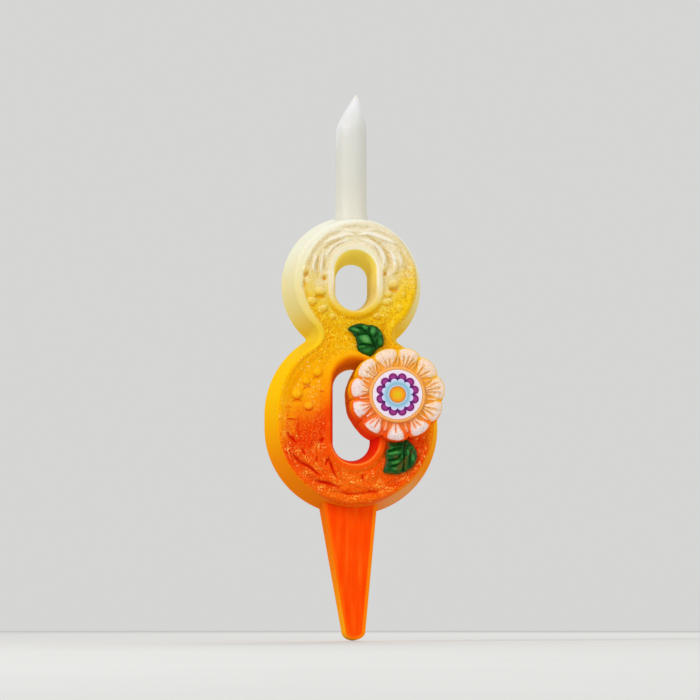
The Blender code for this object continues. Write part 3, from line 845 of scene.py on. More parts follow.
def petal_of(angle):
    """Each angle's petal, and its place across that petal, from -1 to 1.

    Angles are in degrees, clockwise from straight up.
    """
    number = np.zeros(np.shape(angle), int)
    across = np.zeros(np.shape(angle))
    count = len(PETAL_DIRECTIONS)
    for index, direction in enumerate(PETAL_DIRECTIONS):
        before = PETAL_DIRECTIONS[index - 1] - (360 if index == 0 else 0)
        after = PETAL_DIRECTIONS[(index + 1) % count] + (360 if index == count - 1 else 0)
        start, end = (before + direction) / 2, (direction + after) / 2
        turned = (angle - start) % 360
        here = turned < end - start
        number = np.where(here, index, number)
        across = np.where(here, 2 * turned / (end - start) - 1, across)
    return number, across


# How much of its sector each petal fills at its tip.
PETAL_FILL = (0.98, 0.95, 0.98, 0.96, 0.92, 0.8, 0.7, 0.68, 0.78, 0.94, 0.95)
PETAL_GROOVES = (
    (-0.35, 0.3), (-0.45, 0.1, 0.55), (-0.3, 0.35), (-0.5, 0.0, 0.45), (-0.1, 0.5), (-0.3, 0.4),
    (0.05,), (-0.15, 0.5), (-0.4, 0.25), (-0.5, 0.45), (-0.35, 0.15, 0.6),
)


def petal_reach(across, tip, valley):
    """How far out a petal's edge is, at a place across it."""
    return valley + (tip - valley) * np.sqrt(np.clip(np.cos(across * math.pi / 2), 0, 1))


def petal_folds(share, number, across):
    """How deep in a fold each point is, on a ring a share of the way out along the petals."""
    fold = np.zeros(len(number))
    for petal, grooves in enumerate(PETAL_GROOVES):
        reach = 0.95 - 0.3 * ((petal + len(grooves)) % 3) / 2
        shown = smoothstep(reach, reach - 0.45, share) * smoothstep(-0.05, 0.1, share)
        for place in grooves:
            off = np.abs(across - place * (1 + 0.12 * math.sin(petal)))
            fold = np.maximum(fold, (number == petal) * hump(off, 0.24) * shown)
    return fold


def make_flower():
    """A round wax body whose front is eleven domed, grooved petals round a recess for the disc."""
    shell = Shell()
    degrees = np.arange(0, 360, 0.5)
    number, across = petal_of(degrees)
    fill = np.array(PETAL_FILL)[number]
    turned = np.radians(degrees)
    direction = np.stack([np.sin(turned), np.cos(turned)], axis=1)
    left = smoothstep(0.2, 0.9, -direction[:, 0])
    tip_reach = TIP_REACH[0] + 0.15 * np.sin(number * 2.4) - 0.5 * (1 - fill) + 0.35 * left

    def ring(radius, y, **values):
        radius = np.broadcast_to(radius, len(degrees))[:, None]
        to_flower = smoothstep(DISC_RADIUS + 0.5, 12.0, radius)
        middle = mix(np.array((DISC_X, DISC_Z)), np.array((FLOWER_X, FLOWER_Z)), to_flower)
        return shell.add(at_depth(middle + radius * direction, y), **values)

    # the recess and the crest round it
    rows = [ring(DISC_RADIUS + RECESS_GAP, DISC_FRONT_Y + RECESS_FLOOR)]
    shell.fan((DISC_X, DISC_FRONT_Y + RECESS_FLOOR, DISC_Z), rows[0])
    crest = DISC_RADIUS + 0.45
    for radius, behind in ((DISC_RADIUS + RECESS_GAP, 0.3), (DISC_RADIUS + 0.15, 0.1),
                           (crest, 0.03), (crest + 0.2, 0.1), (crest + 0.38, 0.4)):
        rows.append(ring(radius, DISC_FRONT_Y + behind, rim=1.0))
    # the petals
    for share in np.linspace(0.0, 1, 60):
        radius = mix(crest + 0.5, petal_reach(across, tip_reach, VALLEY_REACH[0]), share)
        width = fill * mix(0.5, 1.0, smoothstep(0.0, 0.7, share))
        dome = np.sqrt(np.clip(1 - (np.abs(across) / width) ** 2.6, 0, 1))
        ending = math.sqrt(max(0.0, 1 - max(0.0, (share - 0.5) / 0.5) ** 2.2))
        rise = smoothstep(-0.08, 0.14, share) * ending
        swell = 1.15 + 0.45 * math.exp(-((share - 0.66) / 0.22) ** 2)
        between = hump((1 - np.abs(across)), 0.2) * (fill < 0.97) * smoothstep(0.85, 0.6, share)
        fold = petal_folds(share, number, across / width)
        lift = np.maximum(dome * swell, between * 0.75) * rise - 0.5 * fold * dome * rise
        rows.append(ring(
            radius, PETAL_BASE_Y - lift,
            petal=np.clip(dome * 1.15, 0, 1) * smoothstep(1.02, 0.9, share),
            along=share, fold=fold, between=between,
        ))
    # the side, and the back
    for share in np.linspace(0, 1, 26)[1:]:
        tip = mix(tip_reach, TIP_REACH[1], share)
        valley = mix(*VALLEY_REACH, smoothstep(0.0, 0.75, share))
        bulge = 0.15 * math.sin(math.pi * min(1.0, share * 2.2))
        y = mix(PETAL_BASE_Y, BACK_Y - 0.6, share)
        radius = petal_reach(across, tip, valley) + bulge
        rows.append(ring(radius, y, wall=smoothstep(0.0, 0.08, share), along=1.0))
    for radius, before in ((14.2, 0.45), (13.9, 0.4), (7.0, 0.45)):
        rows.append(ring(radius, BACK_Y - before, wall=1.0, along=1.0))
    shell.side(rows[::-1])
    shell.fan((FLOWER_X, BACK_Y - 0.45, FLOWER_Z), rows[-1][::-1])
    return shell.build("flower_wax")


def make_medallion():
    """The thin printed disc, with a rounded edge."""
    shell = Shell()
    turned = np.radians(np.arange(0, 360, 2.5))
    direction = np.stack([np.sin(turned), np.cos(turned)], axis=1)
    flat = DISC_RADIUS - DISC_ROUND
    profile = [(share * flat, DISC_SINK) for share in (0.2, 0.4, 0.6, 0.8, 1.0)]
    for angle in np.radians((30, 60, 90)):
        behind = DISC_SINK + DISC_ROUND * (1 - math.cos(angle))
        profile.append((flat + DISC_ROUND * math.sin(angle), behind))
    profile += [(DISC_RADIUS, 0.6), (DISC_RADIUS - 0.1, 0.85)]
    rows = [
        shell.add(at_depth((DISC_X, DISC_Z) + radius * direction, DISC_FRONT_Y + behind))
        for radius, behind in profile
    ]
    shell.fan((DISC_X, DISC_FRONT_Y + DISC_SINK, DISC_Z), rows[0][::-1])
    shell.side(rows[::-1])
    shell.faces.append([rows[-1]])
    return shell.build("medallion_disc")


# ---------------------------------------------------------------- the leaves

# Each leaf: its outline, its cut veins as (path, half width, depth), and its bulges as
# (centre, radius, height, stretch, turn).
LEAVES = {
    "leaf_upper_wax": (
        UPPER_LEAF,
        ((((-0.6, 54.9), (1.8, 54.2), (3.0, 53.3), (4.1, 52.3), (4.7, 51.0), (5.4, 49.8),
           (5.9, 48.6)), 0.55, 0.6),
         (((0.0, 52.5), (1.6, 52.5), (3.0, 52.7)), 0.45, 0.5),
         (((0.6, 49.4), (2.9, 49.6), (4.4, 49.3), (5.6, 48.8)), 0.45, 0.5),
         (((3.9, 55.4), (4.0, 54.4), (4.1, 53.0)), 0.4, 0.4),
         (((7.4, 54.0), (6.6, 53.0), (5.4, 51.8)), 0.35, 0.35),
         (((6.5, 51.4), (6.2, 50.4), (6.3, 49.2)), 0.35, 0.35)),
        (((0.0, 53.9), 0.55, 0.5, 2.6, -17), ((2.8, 54.8), 0.8, 0.4, 1.3, 60),
         ((5.1, 53.7), 0.8, 0.45, 1.6, 80), ((7.3, 52.9), 0.6, 0.35, 1.3, 110),
         ((2.9, 51.1), 1.2, 0.55, 1.6, -30), ((1.8, 48.9), 0.45, 0.35, 2.6, 5),
         ((7.3, 50.4), 0.7, 0.3, 1.8, 95), ((3.3, 47.7), 0.7, 0.3, 1.6, 20)),
    ),
    "leaf_lower_wax": (
        LOWER_LEAF,
        ((((14.4, 21.2), (14.3, 18.6), (14.2, 15.2), (13.9, 12.3)), 0.5, 0.6),
         (((9.9, 20.2), (11.6, 20.3), (13.3, 20.2)), 0.4, 0.45),
         (((9.4, 18.1), (11.3, 18.7), (13.3, 19.2)), 0.4, 0.45),
         (((9.2, 15.4), (11.0, 15.6), (12.5, 16.2), (13.8, 17.5)), 0.45, 0.5),
         (((9.6, 13.5), (11.0, 13.8), (12.4, 14.3), (13.8, 15.3)), 0.4, 0.4),
         (((17.0, 19.3), (16.2, 18.2), (15.9, 16.2), (15.8, 14.0)), 0.4, 0.45),
         (((15.6, 20.6), (15.0, 19.2), (14.6, 17.6)), 0.35, 0.4)),
        (((10.4, 19.1), 0.4, 0.35, 2.2, 12), ((11.3, 17.6), 0.55, 0.45, 3.4, 10),
         ((11.8, 14.9), 0.55, 0.45, 2.6, 12), ((11.7, 13.0), 0.5, 0.4, 2.0, 5),
         ((15.4, 17.8), 0.5, 0.4, 2.0, 100), ((16.9, 16.2), 0.5, 0.4, 2.4, 100),
         ((16.9, 18.9), 0.4, 0.3, 2.0, 125), ((13.6, 17.0), 0.4, 0.3, 2.6, 92)),
    ),
}


def make_leaf(name):
    """A domed leaf with cut veins and bulges between them."""
    outline, veins, bulges = LEAVES[name]

    def level(x, z):
        return inside_polygon(x, z, outline) - LEAF_ROUND

    shell = Shell()
    corners = np.array(outline)
    low, high = corners.min(axis=0), corners.max(axis=0)
    points, quads, loops = level_grid(level, low, high, 0.12, rounds=10)
    x, z = points.T
    inset = level(x, z)
    dome = 0.75 * np.sqrt(np.clip(inset / 3.0, 0, 1))
    cut = np.zeros(len(x))
    for path, width, depth in veins:
        away, share = along_path(x, z, smooth_path(path))
        cut = np.maximum(cut, depth * hump(away, width) * smoothstep(0, 0.12, share))
    bulge = np.zeros(len(x))
    for centre, radius, rise, stretch, turn in bulges:
        bulge = np.maximum(bulge, bead(x, z, centre, radius * 1.15, rise, stretch, turn))
    uneven = 0.06 * wobble(x, 0, z, 0.8, 6.0)
    room = smoothstep(0.0, 0.4, inset)
    thickness = LEAF_BASE_Y - LEAF_FRONT_Y
    height = np.clip(0.85 + dome + (bulge - cut + uneven) * room, 0.4, thickness - 0.02)
    front_y = LEAF_BASE_Y - height
    # The bulges are marked for painted highlights, and the cut veins for painted shade.
    front = shell.add(
        at_depth(points, front_y),
        vein=cut * 1.6, light=bulge * 2.2, edge=smoothstep(0.5, 0.0, inset),
    )
    shell.faces.append(quads)
    edge = points[loops[0]]
    outward = edge_normals(edge, level)
    rows = [front[loops[0]]]
    for angle in np.radians((20, 40, 60, 80)):
        place = edge + outward * (LEAF_ROUND * math.sin(angle))
        y = front_y[loops[0]] + LEAF_ROUND * 1.6 * (1 - math.cos(angle))
        rows.append(shell.add(at_depth(place, y), edge=1.0))
    rows.append(shell.add(at_depth(edge + outward * LEAF_ROUND, LEAF_BASE_Y), edge=1.0))
    shell.side(rows)
    shell.faces.append([rows[-1][::-1]])
    return shell.build(name)


# ---------------------------------------------------------------- material nodes


def colour(red, green, blue):
    """A colour given as 0 to 255 on a screen, in the linear values that a shader takes."""
    def linear(value):
        value /= 255
        return value / 12.92 if value <= 0.04045 else ((value + 0.055) / 1.055) ** 2.4
    return (linear(red), linear(green), linear(blue), 1.0)


class Field:
    """A number that a material's nodes work out. Arithmetic on it adds nodes."""

    def __init__(self, paint, socket):
        self.paint = paint
        self.socket = socket

    def math(self, operation, *others, clamp=False):
        node = self.paint.node("ShaderNodeMath")
        node.operation = operation
        node.use_clamp = clamp
        for place, value in zip(node.inputs, (self, *others)):
            self.paint.feed(place, value)
        return Field(self.paint, node.outputs[0])

    def __add__(self, other):
        return self.math("ADD", other)

    __radd__ = __add__

    def __sub__(self, other):
        return self.math("SUBTRACT", other)

    def __rsub__(self, other):
        return (self * -1.0) + other

    def __mul__(self, other):
        return self.math("MULTIPLY", other)

    def __truediv__(self, other):
        return self.math("DIVIDE", other)

    def clamp(self):
        return self.math("ADD", 0.0, clamp=True)

    def step(self, low, high, smooth=True):
        """0 below low and 1 above high. Low may be the larger one, which turns it round."""
        node = self.paint.node("ShaderNodeMapRange")
        node.interpolation_type = "SMOOTHSTEP" if smooth else "LINEAR"
        self.paint.feed(node.inputs["Value"], self)
        if low < high:
            limits = (low, high, 0.0, 1.0)
        else:
            limits = (high, low, 1.0, 0.0)
        for name, value in zip(("From Min", "From Max", "To Min", "To Max"), limits):
            node.inputs[name].default_value = value
        return Field(self.paint, node.outputs["Result"])

    def most(self, other):
        return self.math("MAXIMUM", other)

    def size(self):
        return self.math("ABSOLUTE")


class Paint:
    """A material being made from nodes, with its shader."""

    def __init__(self, name, roughness, **sockets):
        self.material = bpy.data.materials.new(name)
        self.material.use_nodes = True
        self.tree = self.material.node_tree
        self.shader = self.tree.nodes["Principled BSDF"]
        self.shader.inputs["Roughness"].default_value = roughness
        for socket_name, value in sockets.items():
            self.shader.inputs[socket_name.replace("_", " ")].default_value = value
        self.coordinates = self.node("ShaderNodeTexCoord").outputs["Object"]
        split = self.node("ShaderNodeSeparateXYZ")
        self.link(self.coordinates, split.inputs[0])
        self.x, self.y, self.z = [Field(self, out) * (1 / MM) for out in split.outputs]

    def node(self, kind):
        return self.tree.nodes.new(kind)

    def link(self, output, place):
        self.tree.links.new(output, place)

    def feed(self, place, value):
        if isinstance(value, Field):
            self.link(value.socket, place)
        else:
            place.default_value = value

    def value(self, name):
        """A value painted on the mesh."""
        node = self.node("ShaderNodeAttribute")
        node.attribute_name = name
        return Field(self, node.outputs["Fac"])

    def noise(self, size, detail=2.0, stretch=(1, 1, 1)):
        """Noise from 0 to 1 with features of a size in millimetres."""
        moved = self.node("ShaderNodeMapping")
        moved.inputs["Scale"].default_value = [1 / s for s in stretch]
        self.link(self.coordinates, moved.inputs["Vector"])
        node = self.node("ShaderNodeTexNoise")
        node.inputs["Scale"].default_value = 1 / (size * MM)
        node.inputs["Detail"].default_value = detail
        self.link(moved.outputs[0], node.inputs["Vector"])
        return Field(self, node.outputs["Fac"])

    def flakes(self, size):
        """Two random numbers from 0 to 1 for each small flake."""
        node = self.node("ShaderNodeTexVoronoi")
        node.inputs["Scale"].default_value = 1 / (size * MM)
        self.link(self.coordinates, node.inputs["Vector"])
        split = self.node("ShaderNodeSeparateXYZ")
        self.link(node.outputs["Color"], split.inputs[0])
        return Field(self, split.outputs[0]), Field(self, split.outputs[1])

    def ramp(self, value, stops):
        """A colour for each value, between stops of (value, colour)."""
        low, high = stops[0][0], stops[-1][0]
        node = self.node("ShaderNodeValToRGB")
        elements = node.color_ramp.elements
        for _ in range(len(stops) - 2):
            elements.new(0.5)
        for element, (place, tint) in zip(elements, stops):
            element.position = (place - low) / (high - low)
            element.color = colour(*tint)
        self.link(value.step(low, high, smooth=False).socket, node.inputs[0])
        return node.outputs["Color"]

    def mix(self, share, first, second):
        """One colour over another, by a share from 0 to 1."""
        node = self.node("ShaderNodeMix")
        node.data_type = "RGBA"
        self.feed(node.inputs["Factor"], share)
        for place, tint in ((node.inputs[6], first), (node.inputs[7], second)):
            if isinstance(tint, tuple):
                place.default_value = colour(*tint)
            else:
                self.link(tint, place)
        return node.outputs[2]

    def layers(self, tint, *layers):
        """A colour with more colours over it, each given as (share, colour)."""
        for share, over in layers:
            tint = self.mix(share, tint, over)
        return tint

    def bump(self, height, distance, strength):
        """Adds fine relief, its height from 0 to 1 over a distance in millimetres."""
        node = self.node("ShaderNodeBump")
        node.inputs["Strength"].default_value = strength
        node.inputs["Distance"].default_value = distance * MM
        self.link(height.socket, node.inputs["Height"])
        self.link(node.outputs[0], self.shader.inputs["Normal"])

    def finish(self, tint, roughness=None):
        self.link(tint, self.shader.inputs["Base Color"])
        if roughness is not None:
            self.link(roughness.socket, self.shader.inputs["Roughness"])
        return self.material


# ---------------------------------------------------------------- materials

FRONT_COLOURS = (
    (2, (247, 98, 6)), (8, (246, 86, 5)), (16, (244, 78, 4)), (22, (236, 50, 2)),
    (26, (240, 78, 4)), (29, (247, 122, 6)), (33, (250, 150, 6)), (38, (252, 172, 6)),
    (45, (246, 174, 3)), (52, (240, 172, 3)), (58, (232, 180, 18)), (62, (234, 202, 74)),
    (66, (231, 205, 112)), (70, (229, 206, 142)), (75, (230, 211, 156)), (82, (230, 218, 180)),
    (90, (238, 232, 210)),
)
WALL_COLOURS = (
    (0, (244, 122, 6)), (7, (246, 126, 3)), (15, (248, 138, 2)), (25, (250, 170, 2)),
    (34, (254, 192, 4)), (43, (254, 196, 6)), (50, (244, 198, 30)), (55, (234, 196, 56)),
    (60, (232, 210, 124)), (69, (234, 222, 166)), (78, (238, 235, 208)), (90, (240, 238, 224)),
)
OPENING_COLOURS = (
    (14, (242, 62, 2)), (22, (232, 30, 1)), (34, (236, 54, 2)), (42, (252, 142, 4)),
    (48, (255, 172, 6)), (58, (236, 214, 140)), (66, (232, 206, 122)), (73, (252, 230, 108)),
    (78, (255, 240, 112)),
)
UNDER_PETALS_COLOURS = (
    (-1.1, (238, 78, 12)), (-0.45, (246, 98, 18)), (-0.1, (250, 128, 14)),
    (0.25, (252, 168, 10)), (0.7, (252, 196, 8)), (1.1, (252, 204, 10)),
)
FLOWER_WALL_COLOURS = (
    (-0.9, (250, 76, 2)), (-0.25, (255, 104, 4)), (0.05, (254, 148, 6)), (0.4, (255, 200, 3)),
    (0.9, (254, 206, 8)),
)
# How colourful wax shines: weakly, with a tint of its own colour.
WAX = {
    "Subsurface_Weight": 0.08,
    "Subsurface_Scale": 0.001,
    "IOR": 1.07,
    "Specular_Tint": (1.0, 0.8, 0.5, 1.0),
}


def digit_marks(paint):
    """Where things are on the digit, for its paint to follow."""
    pattern, bead, under = paint.value("pattern"), paint.value("bead"), paint.value("under")
    marks = SimpleNamespace(
        inset=paint.value("inset"), hole=paint.value("hole"), gold=paint.value("gold"),
        groove=pattern.step(-0.05, -0.45), cut=pattern.step(-0.35, -0.75),
        ridge=pattern.step(0.1, 0.55), bumps=bead.step(0.1, 0.6), pits=bead.step(-0.08, -0.4),
        down=under.step(0.05, 0.75), up=under.step(-0.05, -0.8),
        rim=paint.value("rim").step(0.3, 0.8),
        in_upper=paint.z.step(44, 56), low=paint.z.step(34, 26), from_middle=paint.x.size(),
        cloudy=paint.noise(9.0, 2) - 0.5, spray=paint.noise(0.5, 3) - 0.5,
    )
    beside = (paint.x - paint.z * 0.3 + marks.spray * 3.0).step(-9.5, -5.5)
    marks.yellow_side = beside * paint.z.step(51, 57) * paint.z.step(79, 70)
    return marks


def digit_front(paint, marks):
    """The airbrushed front: cream scrolls over yellow above, red cuts in orange below; painted
    shade in the ditch and upper grooves, painted highlights on the upper ridges.
    """
    z, low, in_upper, groove, ridge = paint.z, marks.low, marks.in_upper, marks.groove, marks.ridge
    lower_shift = (marks.from_middle - 15.0) * 0.5 + (marks.from_middle - 17.5).most(0.0) * 1.2
    upper_shift = (marks.from_middle - 9.5).most(0.0) * -0.9
    height = (
        z + mix(lower_shift, upper_shift, in_upper) + marks.cloudy * 6.0 + marks.spray * 5.0
        - marks.down * 7.0 + marks.up * 3.0
        + (ridge - groove) * in_upper * 5.0 + ridge * (1.0 - in_upper) * 2.5
    )
    # Painted shade: a darker band in the ditch round the field, where the rim's inner slope is
    # shaded.
    ditch = marks.inset.step(1.0, 1.8) * marks.inset.step(3.4, 2.2) * z.step(60, 54)
    pale = z.step(62, 72)
    by_beads = z.step(54, 60)
    mottled = paint.noise(2.4, 3)
    return paint.layers(
        paint.ramp(height, FRONT_COLOURS),
        (marks.yellow_side * 0.7, (246, 200, 12)),
        (groove * low * 0.8, (228, 34, 0)),
        (marks.cut * low * 0.8, (212, 12, 0)),
        (groove * in_upper * z.step(66, 60) * 0.6, (236, 140, 4)),
        # Painted shade: beige in the grooves of the upper scrolls.
        (groove * z.step(66, 72) * 0.55, (214, 182, 98)),
        # Painted shade in the ditch, orange above and red below.
        (ditch * 0.4, paint.mix(low, (222, 128, 0), (222, 40, 0))),
        (mottled.step(0.5, 0.7) * pale * 0.55, (226, 204, 152)),
        (mottled.step(0.48, 0.3) * pale * 0.55, (246, 236, 214)),
        # Painted highlight: near-white on the ridges of the upper scrolls.
        (ridge * pale * (0.7 + marks.spray), (248, 243, 228)),
        (marks.bumps * marks.up * by_beads * 0.8, (250, 236, 190)),
        (marks.bumps * by_beads * 0.45, (242, 208, 90)),
        (marks.pits * by_beads * 0.9, (232, 170, 10)),
        (marks.bumps * z.step(28, 32) * z.step(46, 42) * 0.45, (255, 196, 20)),
        (marks.rim * z.step(60, 68) * 0.65, (238, 230, 204)),
        (marks.rim * low * 0.5, (244, 84, 8)),
    )


def digit_wall(paint, marks):
    """The sides and the back: cream above, golden yellow and orange below, with painted shade low
    on the right and a painted highlight behind the lower loop's right front edge.
    """
    # Painted shade: tan on the lower right of the sides.
    painted_shade = paint.x.step(2, 12) * paint.z.step(14, 7) * marks.inset.step(-8.95, -8.5)
    # Painted highlight: bright golden orange on the side just behind the lower loop's right front
    # edge.
    painted_edge_highlight = marks.inset.step(-3.2, -0.9) * paint.x.step(3, 11) * paint.z.step(36, 26)
    return paint.layers(
        paint.ramp(paint.z + marks.cloudy * 3.0 + marks.spray * 1.5, WALL_COLOURS),
        # painted shade low on the right, then the painted highlight along the right front edge
        (painted_shade * 0.7, (230, 160, 96)),
        (painted_edge_highlight, (248, 124, 4)),
    )


def digit_glitter(paint, marks, base, amount):
    """Glitter over a colour. Returns the new colour, and how much each flake shines."""
    flake, shade = paint.flakes(0.34)
    fine, tilt = paint.flakes(0.28)
    golden = paint.z.step(40, 50) * paint.z.step(68, 57).most(marks.yellow_side * 0.8)
    gathered = paint.noise(1.5, 3).step(0.42, 0.62)
    loose = paint.noise(2.6, 3).step(0.48, 0.68) * 0.45
    lower_gold = marks.gold.most(loose) * (gathered * 0.65 + 0.35)
    dark = fine.step(0.42, 0.1) * amount * (golden * 0.42 + marks.low * 0.3 + 0.1)
    shine = flake.step(0.58, 0.8) * amount
    paint.bump(paint.noise(0.35, 2) * 0.5 + tilt * 0.6 * amount, 0.08, 0.9)
    base = paint.layers(
        base,
        (dark, paint.mix(marks.low, (196, 118, 2), (196, 30, 0))),
        (shine * golden * (gathered * 0.4 + 0.25), (255, 230, 60)),
        (shine * lower_gold * paint.z.step(46, 36), (255, 190, 70)),
        (shine * paint.z.step(64, 74) * 0.35, (250, 243, 222)),
        (fine.step(0.66, 0.9) * amount * marks.low * 0.3, (255, 150, 50)),
        (shade.step(0.96, 0.985) * amount * gathered * 0.7, (255, 226, 140)),
    )
    return base, shine


def digit_wax():
    """Airbrushed wax: ivory to golden yellow to red-orange, with glitter on the front and painted
    highlights along the openings' lips.
    """
    paint = Paint("digit_wax", 0.42, **WAX)
    marks = digit_marks(paint)
    over_stake = marks.from_middle.step(14, 7) * paint.z.step(9, 3)
    upper_margin = paint.x * -0.12 - paint.x.most(0.0) * 0.05 - 0.3
    margin = mix(over_stake * -2.2 - 0.7, upper_margin, marks.in_upper)
    on_front = (marks.inset - margin + marks.spray * 1.4).step(-0.35, 0.35)
    # Painted highlight: a thin light line along the openings' rounded front edges.
    lip_highlight = marks.hole.step(0.02, 0.25) * marks.hole.step(0.9, 0.5)
    base = paint.layers(
        digit_wall(paint, marks),
        (on_front, digit_front(paint, marks)),
        (marks.hole, paint.ramp(paint.z + marks.cloudy * 2.0, OPENING_COLOURS)),
        # painted highlights on the lips, pale high in the upper opening, orange at the bottom of
        # the lower one
        (lip_highlight * paint.z.step(64, 70) * 0.7, (250, 246, 232)),
        (lip_highlight * paint.z.step(22, 18) * 0.35, (255, 180, 80)),
    )
    amount = (
        on_front * (1.0 - marks.hole) * (1.0 - marks.rim * 0.7)
        * (1.0 - marks.groove * marks.low * 0.7)
    )
    base, shine = digit_glitter(paint, marks, base, amount)
    dull = (1.0 - on_front).most(marks.hole) * 0.4
    return paint.finish(base, 0.5 + dull - shine * 0.2 + (paint.noise(3.0) - 0.5) * 0.12)


def stake_wax():
    """Red-orange wax on the front, lighter orange on the sides."""
    paint = Paint("stake_wax", 0.38, **WAX)
    face = paint.value("face")
    streaks = paint.noise(1.6, 3, stretch=(1, 1, 9)) - 0.5
    spray = paint.noise(0.6, 3) - 0.5
    cloudy = paint.noise(8.0, 2) - 0.5
    front = paint.ramp(streaks * 2.0 + cloudy * 0.8, (
        (-0.7, (248, 62, 2)), (-0.1, (253, 74, 2)), (0.3, (255, 88, 8)), (0.8, (255, 112, 24)),
    ))
    side = paint.ramp(paint.z * -0.045 + paint.x.step(0, 3) * 0.8 - 0.7 + spray * 0.4, (
        (-0.8, (242, 108, 2)), (0.0, (250, 128, 3)), (0.9, (255, 168, 12)),
    ))
    on_front = (face + spray * 0.6).step(0.25, 0.75)
    near_side = (paint.value("edge") + spray * 0.5).step(0.9, 0.1)
    golden_edge = near_side * (paint.x.step(-1, 3) * 0.5 + 0.3) * on_front
    base = paint.layers(side, (on_front, front), (golden_edge, (252, 140, 12)))
    paint.bump(paint.noise(0.5, 3) * 0.6 + streaks, 0.08, 0.6)
    return paint.finish(base, 0.42 + (1.0 - on_front) * 0.45 + streaks * 0.2)


def stem_wax():
    """White wax, a little creamy where it is thick."""
    paint = Paint("stem_wax", 0.36, Subsurface_Weight=0.15, Subsurface_Scale=0.0015,
                  Specular_IOR_Level=0.3)
    paint.shader.inputs["Subsurface Radius"].default_value = (1.0, 0.8, 0.6)
    cloudy = paint.noise(5.0, 3, stretch=(1, 1, 3)) - 0.5
    base = paint.ramp(paint.z + cloudy * 26.0, (
        (86, (224, 219, 204)), (100, (214, 212, 200)), (112, (213, 212, 205)),
        (122, (230, 230, 231)),
    ))
    base = paint.mix(paint.noise(0.8, 2).step(0.62, 0.8) * 0.35, base, (214, 208, 192))
    paint.bump(paint.noise(0.7, 3), 0.06, 0.7)
    return paint.finish(base, 0.4 + cloudy * 0.2)


def wick_cotton():
    """Waxed cotton, with fibres along its strands."""
    paint = Paint("wick_cotton", 0.6, Sheen_Weight=0.2)
    fibres = paint.noise(0.16, 3, stretch=(1, 1, 4))
    base = paint.mix(fibres, (222, 214, 196), (246, 242, 232))
    paint.bump(fibres, 0.08, 0.9)
    return paint.finish(base, 0.5 + fibres * 0.3)


def flower_wax():
    """Peach-white petals brushed over wax that runs from yellow at the top to red below."""
    paint = Paint("flower_wax", 0.42, **WAX)
    petal, along, fold = paint.value("petal"), paint.value("along"), paint.value("fold")
    wall, rim, between = paint.value("wall"), paint.value("rim"), paint.value("between")
    right = (paint.x - FLOWER_X) / 14.0
    up = (paint.z - FLOWER_Z) / 14.0
    spray = paint.noise(0.45, 3) - 0.5
    cloudy = paint.noise(4.0, 2) - 0.5
    worn = paint.noise(1.1, 3) - 0.5
    front = 1.0 - wall
    lit = up + right * 0.4 + right.most(0.0) * 0.35
    low = (up + right * 0.25).step(0.1, -0.55)
    near_disc = paint.mix(lit.step(-0.6, 0.1), (248, 146, 62), (247, 182, 76))
    warm = paint.mix(lit.step(-0.7, 0.1), (250, 166, 98), (251, 194, 108))
    margin = paint.mix(lit.step(-0.5, 0.2), (248, 160, 96), (250, 204, 120))
    gold = paint.mix(lit.step(-0.6, 0.1), (244, 128, 44), (230, 164, 50))
    cream = paint.layers(
        paint.mix(
            (up * 0.5 + right * 0.3 + cloudy).step(-0.4, 0.6), (238, 217, 214), (245, 213, 182)
        ),
        ((along + spray * 0.4).step(0.6, 0.05) * 0.85, warm),
        ((petal + worn * 0.5).step(0.95, 0.6) * 0.6, margin),
    )
    cover = (petal + spray * 0.5 + worn * 0.8 * low - fold * 0.25).step(0.22, 0.74)
    cover = cover.most((between - 0.25 + spray * 0.5).step(0.2, 0.5) * 0.75)
    first, second = paint.flakes(0.4)
    sparkle = first.step(0.72, 0.9) * front * (cover * 0.85 + 0.15)
    base = paint.layers(
        paint.ramp(lit + cloudy * 0.5 + spray * 0.3, UNDER_PETALS_COLOURS),
        (along.step(0.85, 0.25) * 0.8, near_disc),
        (cover * front, cream),
        (fold.step(0.1, 0.6) * front * 0.8, gold),
        (rim * (0.85 + spray * 0.4), (248, 176, 96)),
        (wall, paint.ramp(up - right * 0.25 + cloudy * 0.3, FLOWER_WALL_COLOURS)),
        (sparkle * 0.55, (252, 242, 238)),
        (second.step(0.9, 0.97) * cover * front * 0.5, (206, 164, 156)),
    )
    paint.bump(paint.noise(0.3, 2) * 0.6 + first * 0.5, 0.07, 0.8)
    return paint.finish(base, 0.5 + wall * 0.4 - sparkle * 0.2)


# How much larger the printed flower is than drawn below, where the disc's radius is 1.
PRINT_SPREAD = 1.075
PRINTED_PETALS = 12
PURPLE_COLOURS = (
    (0.5, (36, 6, 92)), (0.6, (90, 10, 100)), (0.7, (128, 24, 112)), (0.82, (104, 12, 88)),
)
BLUE_COLOURS = (
    (0.34, (150, 186, 206)), (0.42, (138, 184, 212)), (0.49, (170, 206, 226)),
    (0.57, (216, 206, 246)),
)
CORE_COLOURS = (
    (0.0, (222, 196, 2)), (0.16, (238, 172, 4)), (0.25, (246, 146, 4)), (0.305, (196, 112, 12)),
)


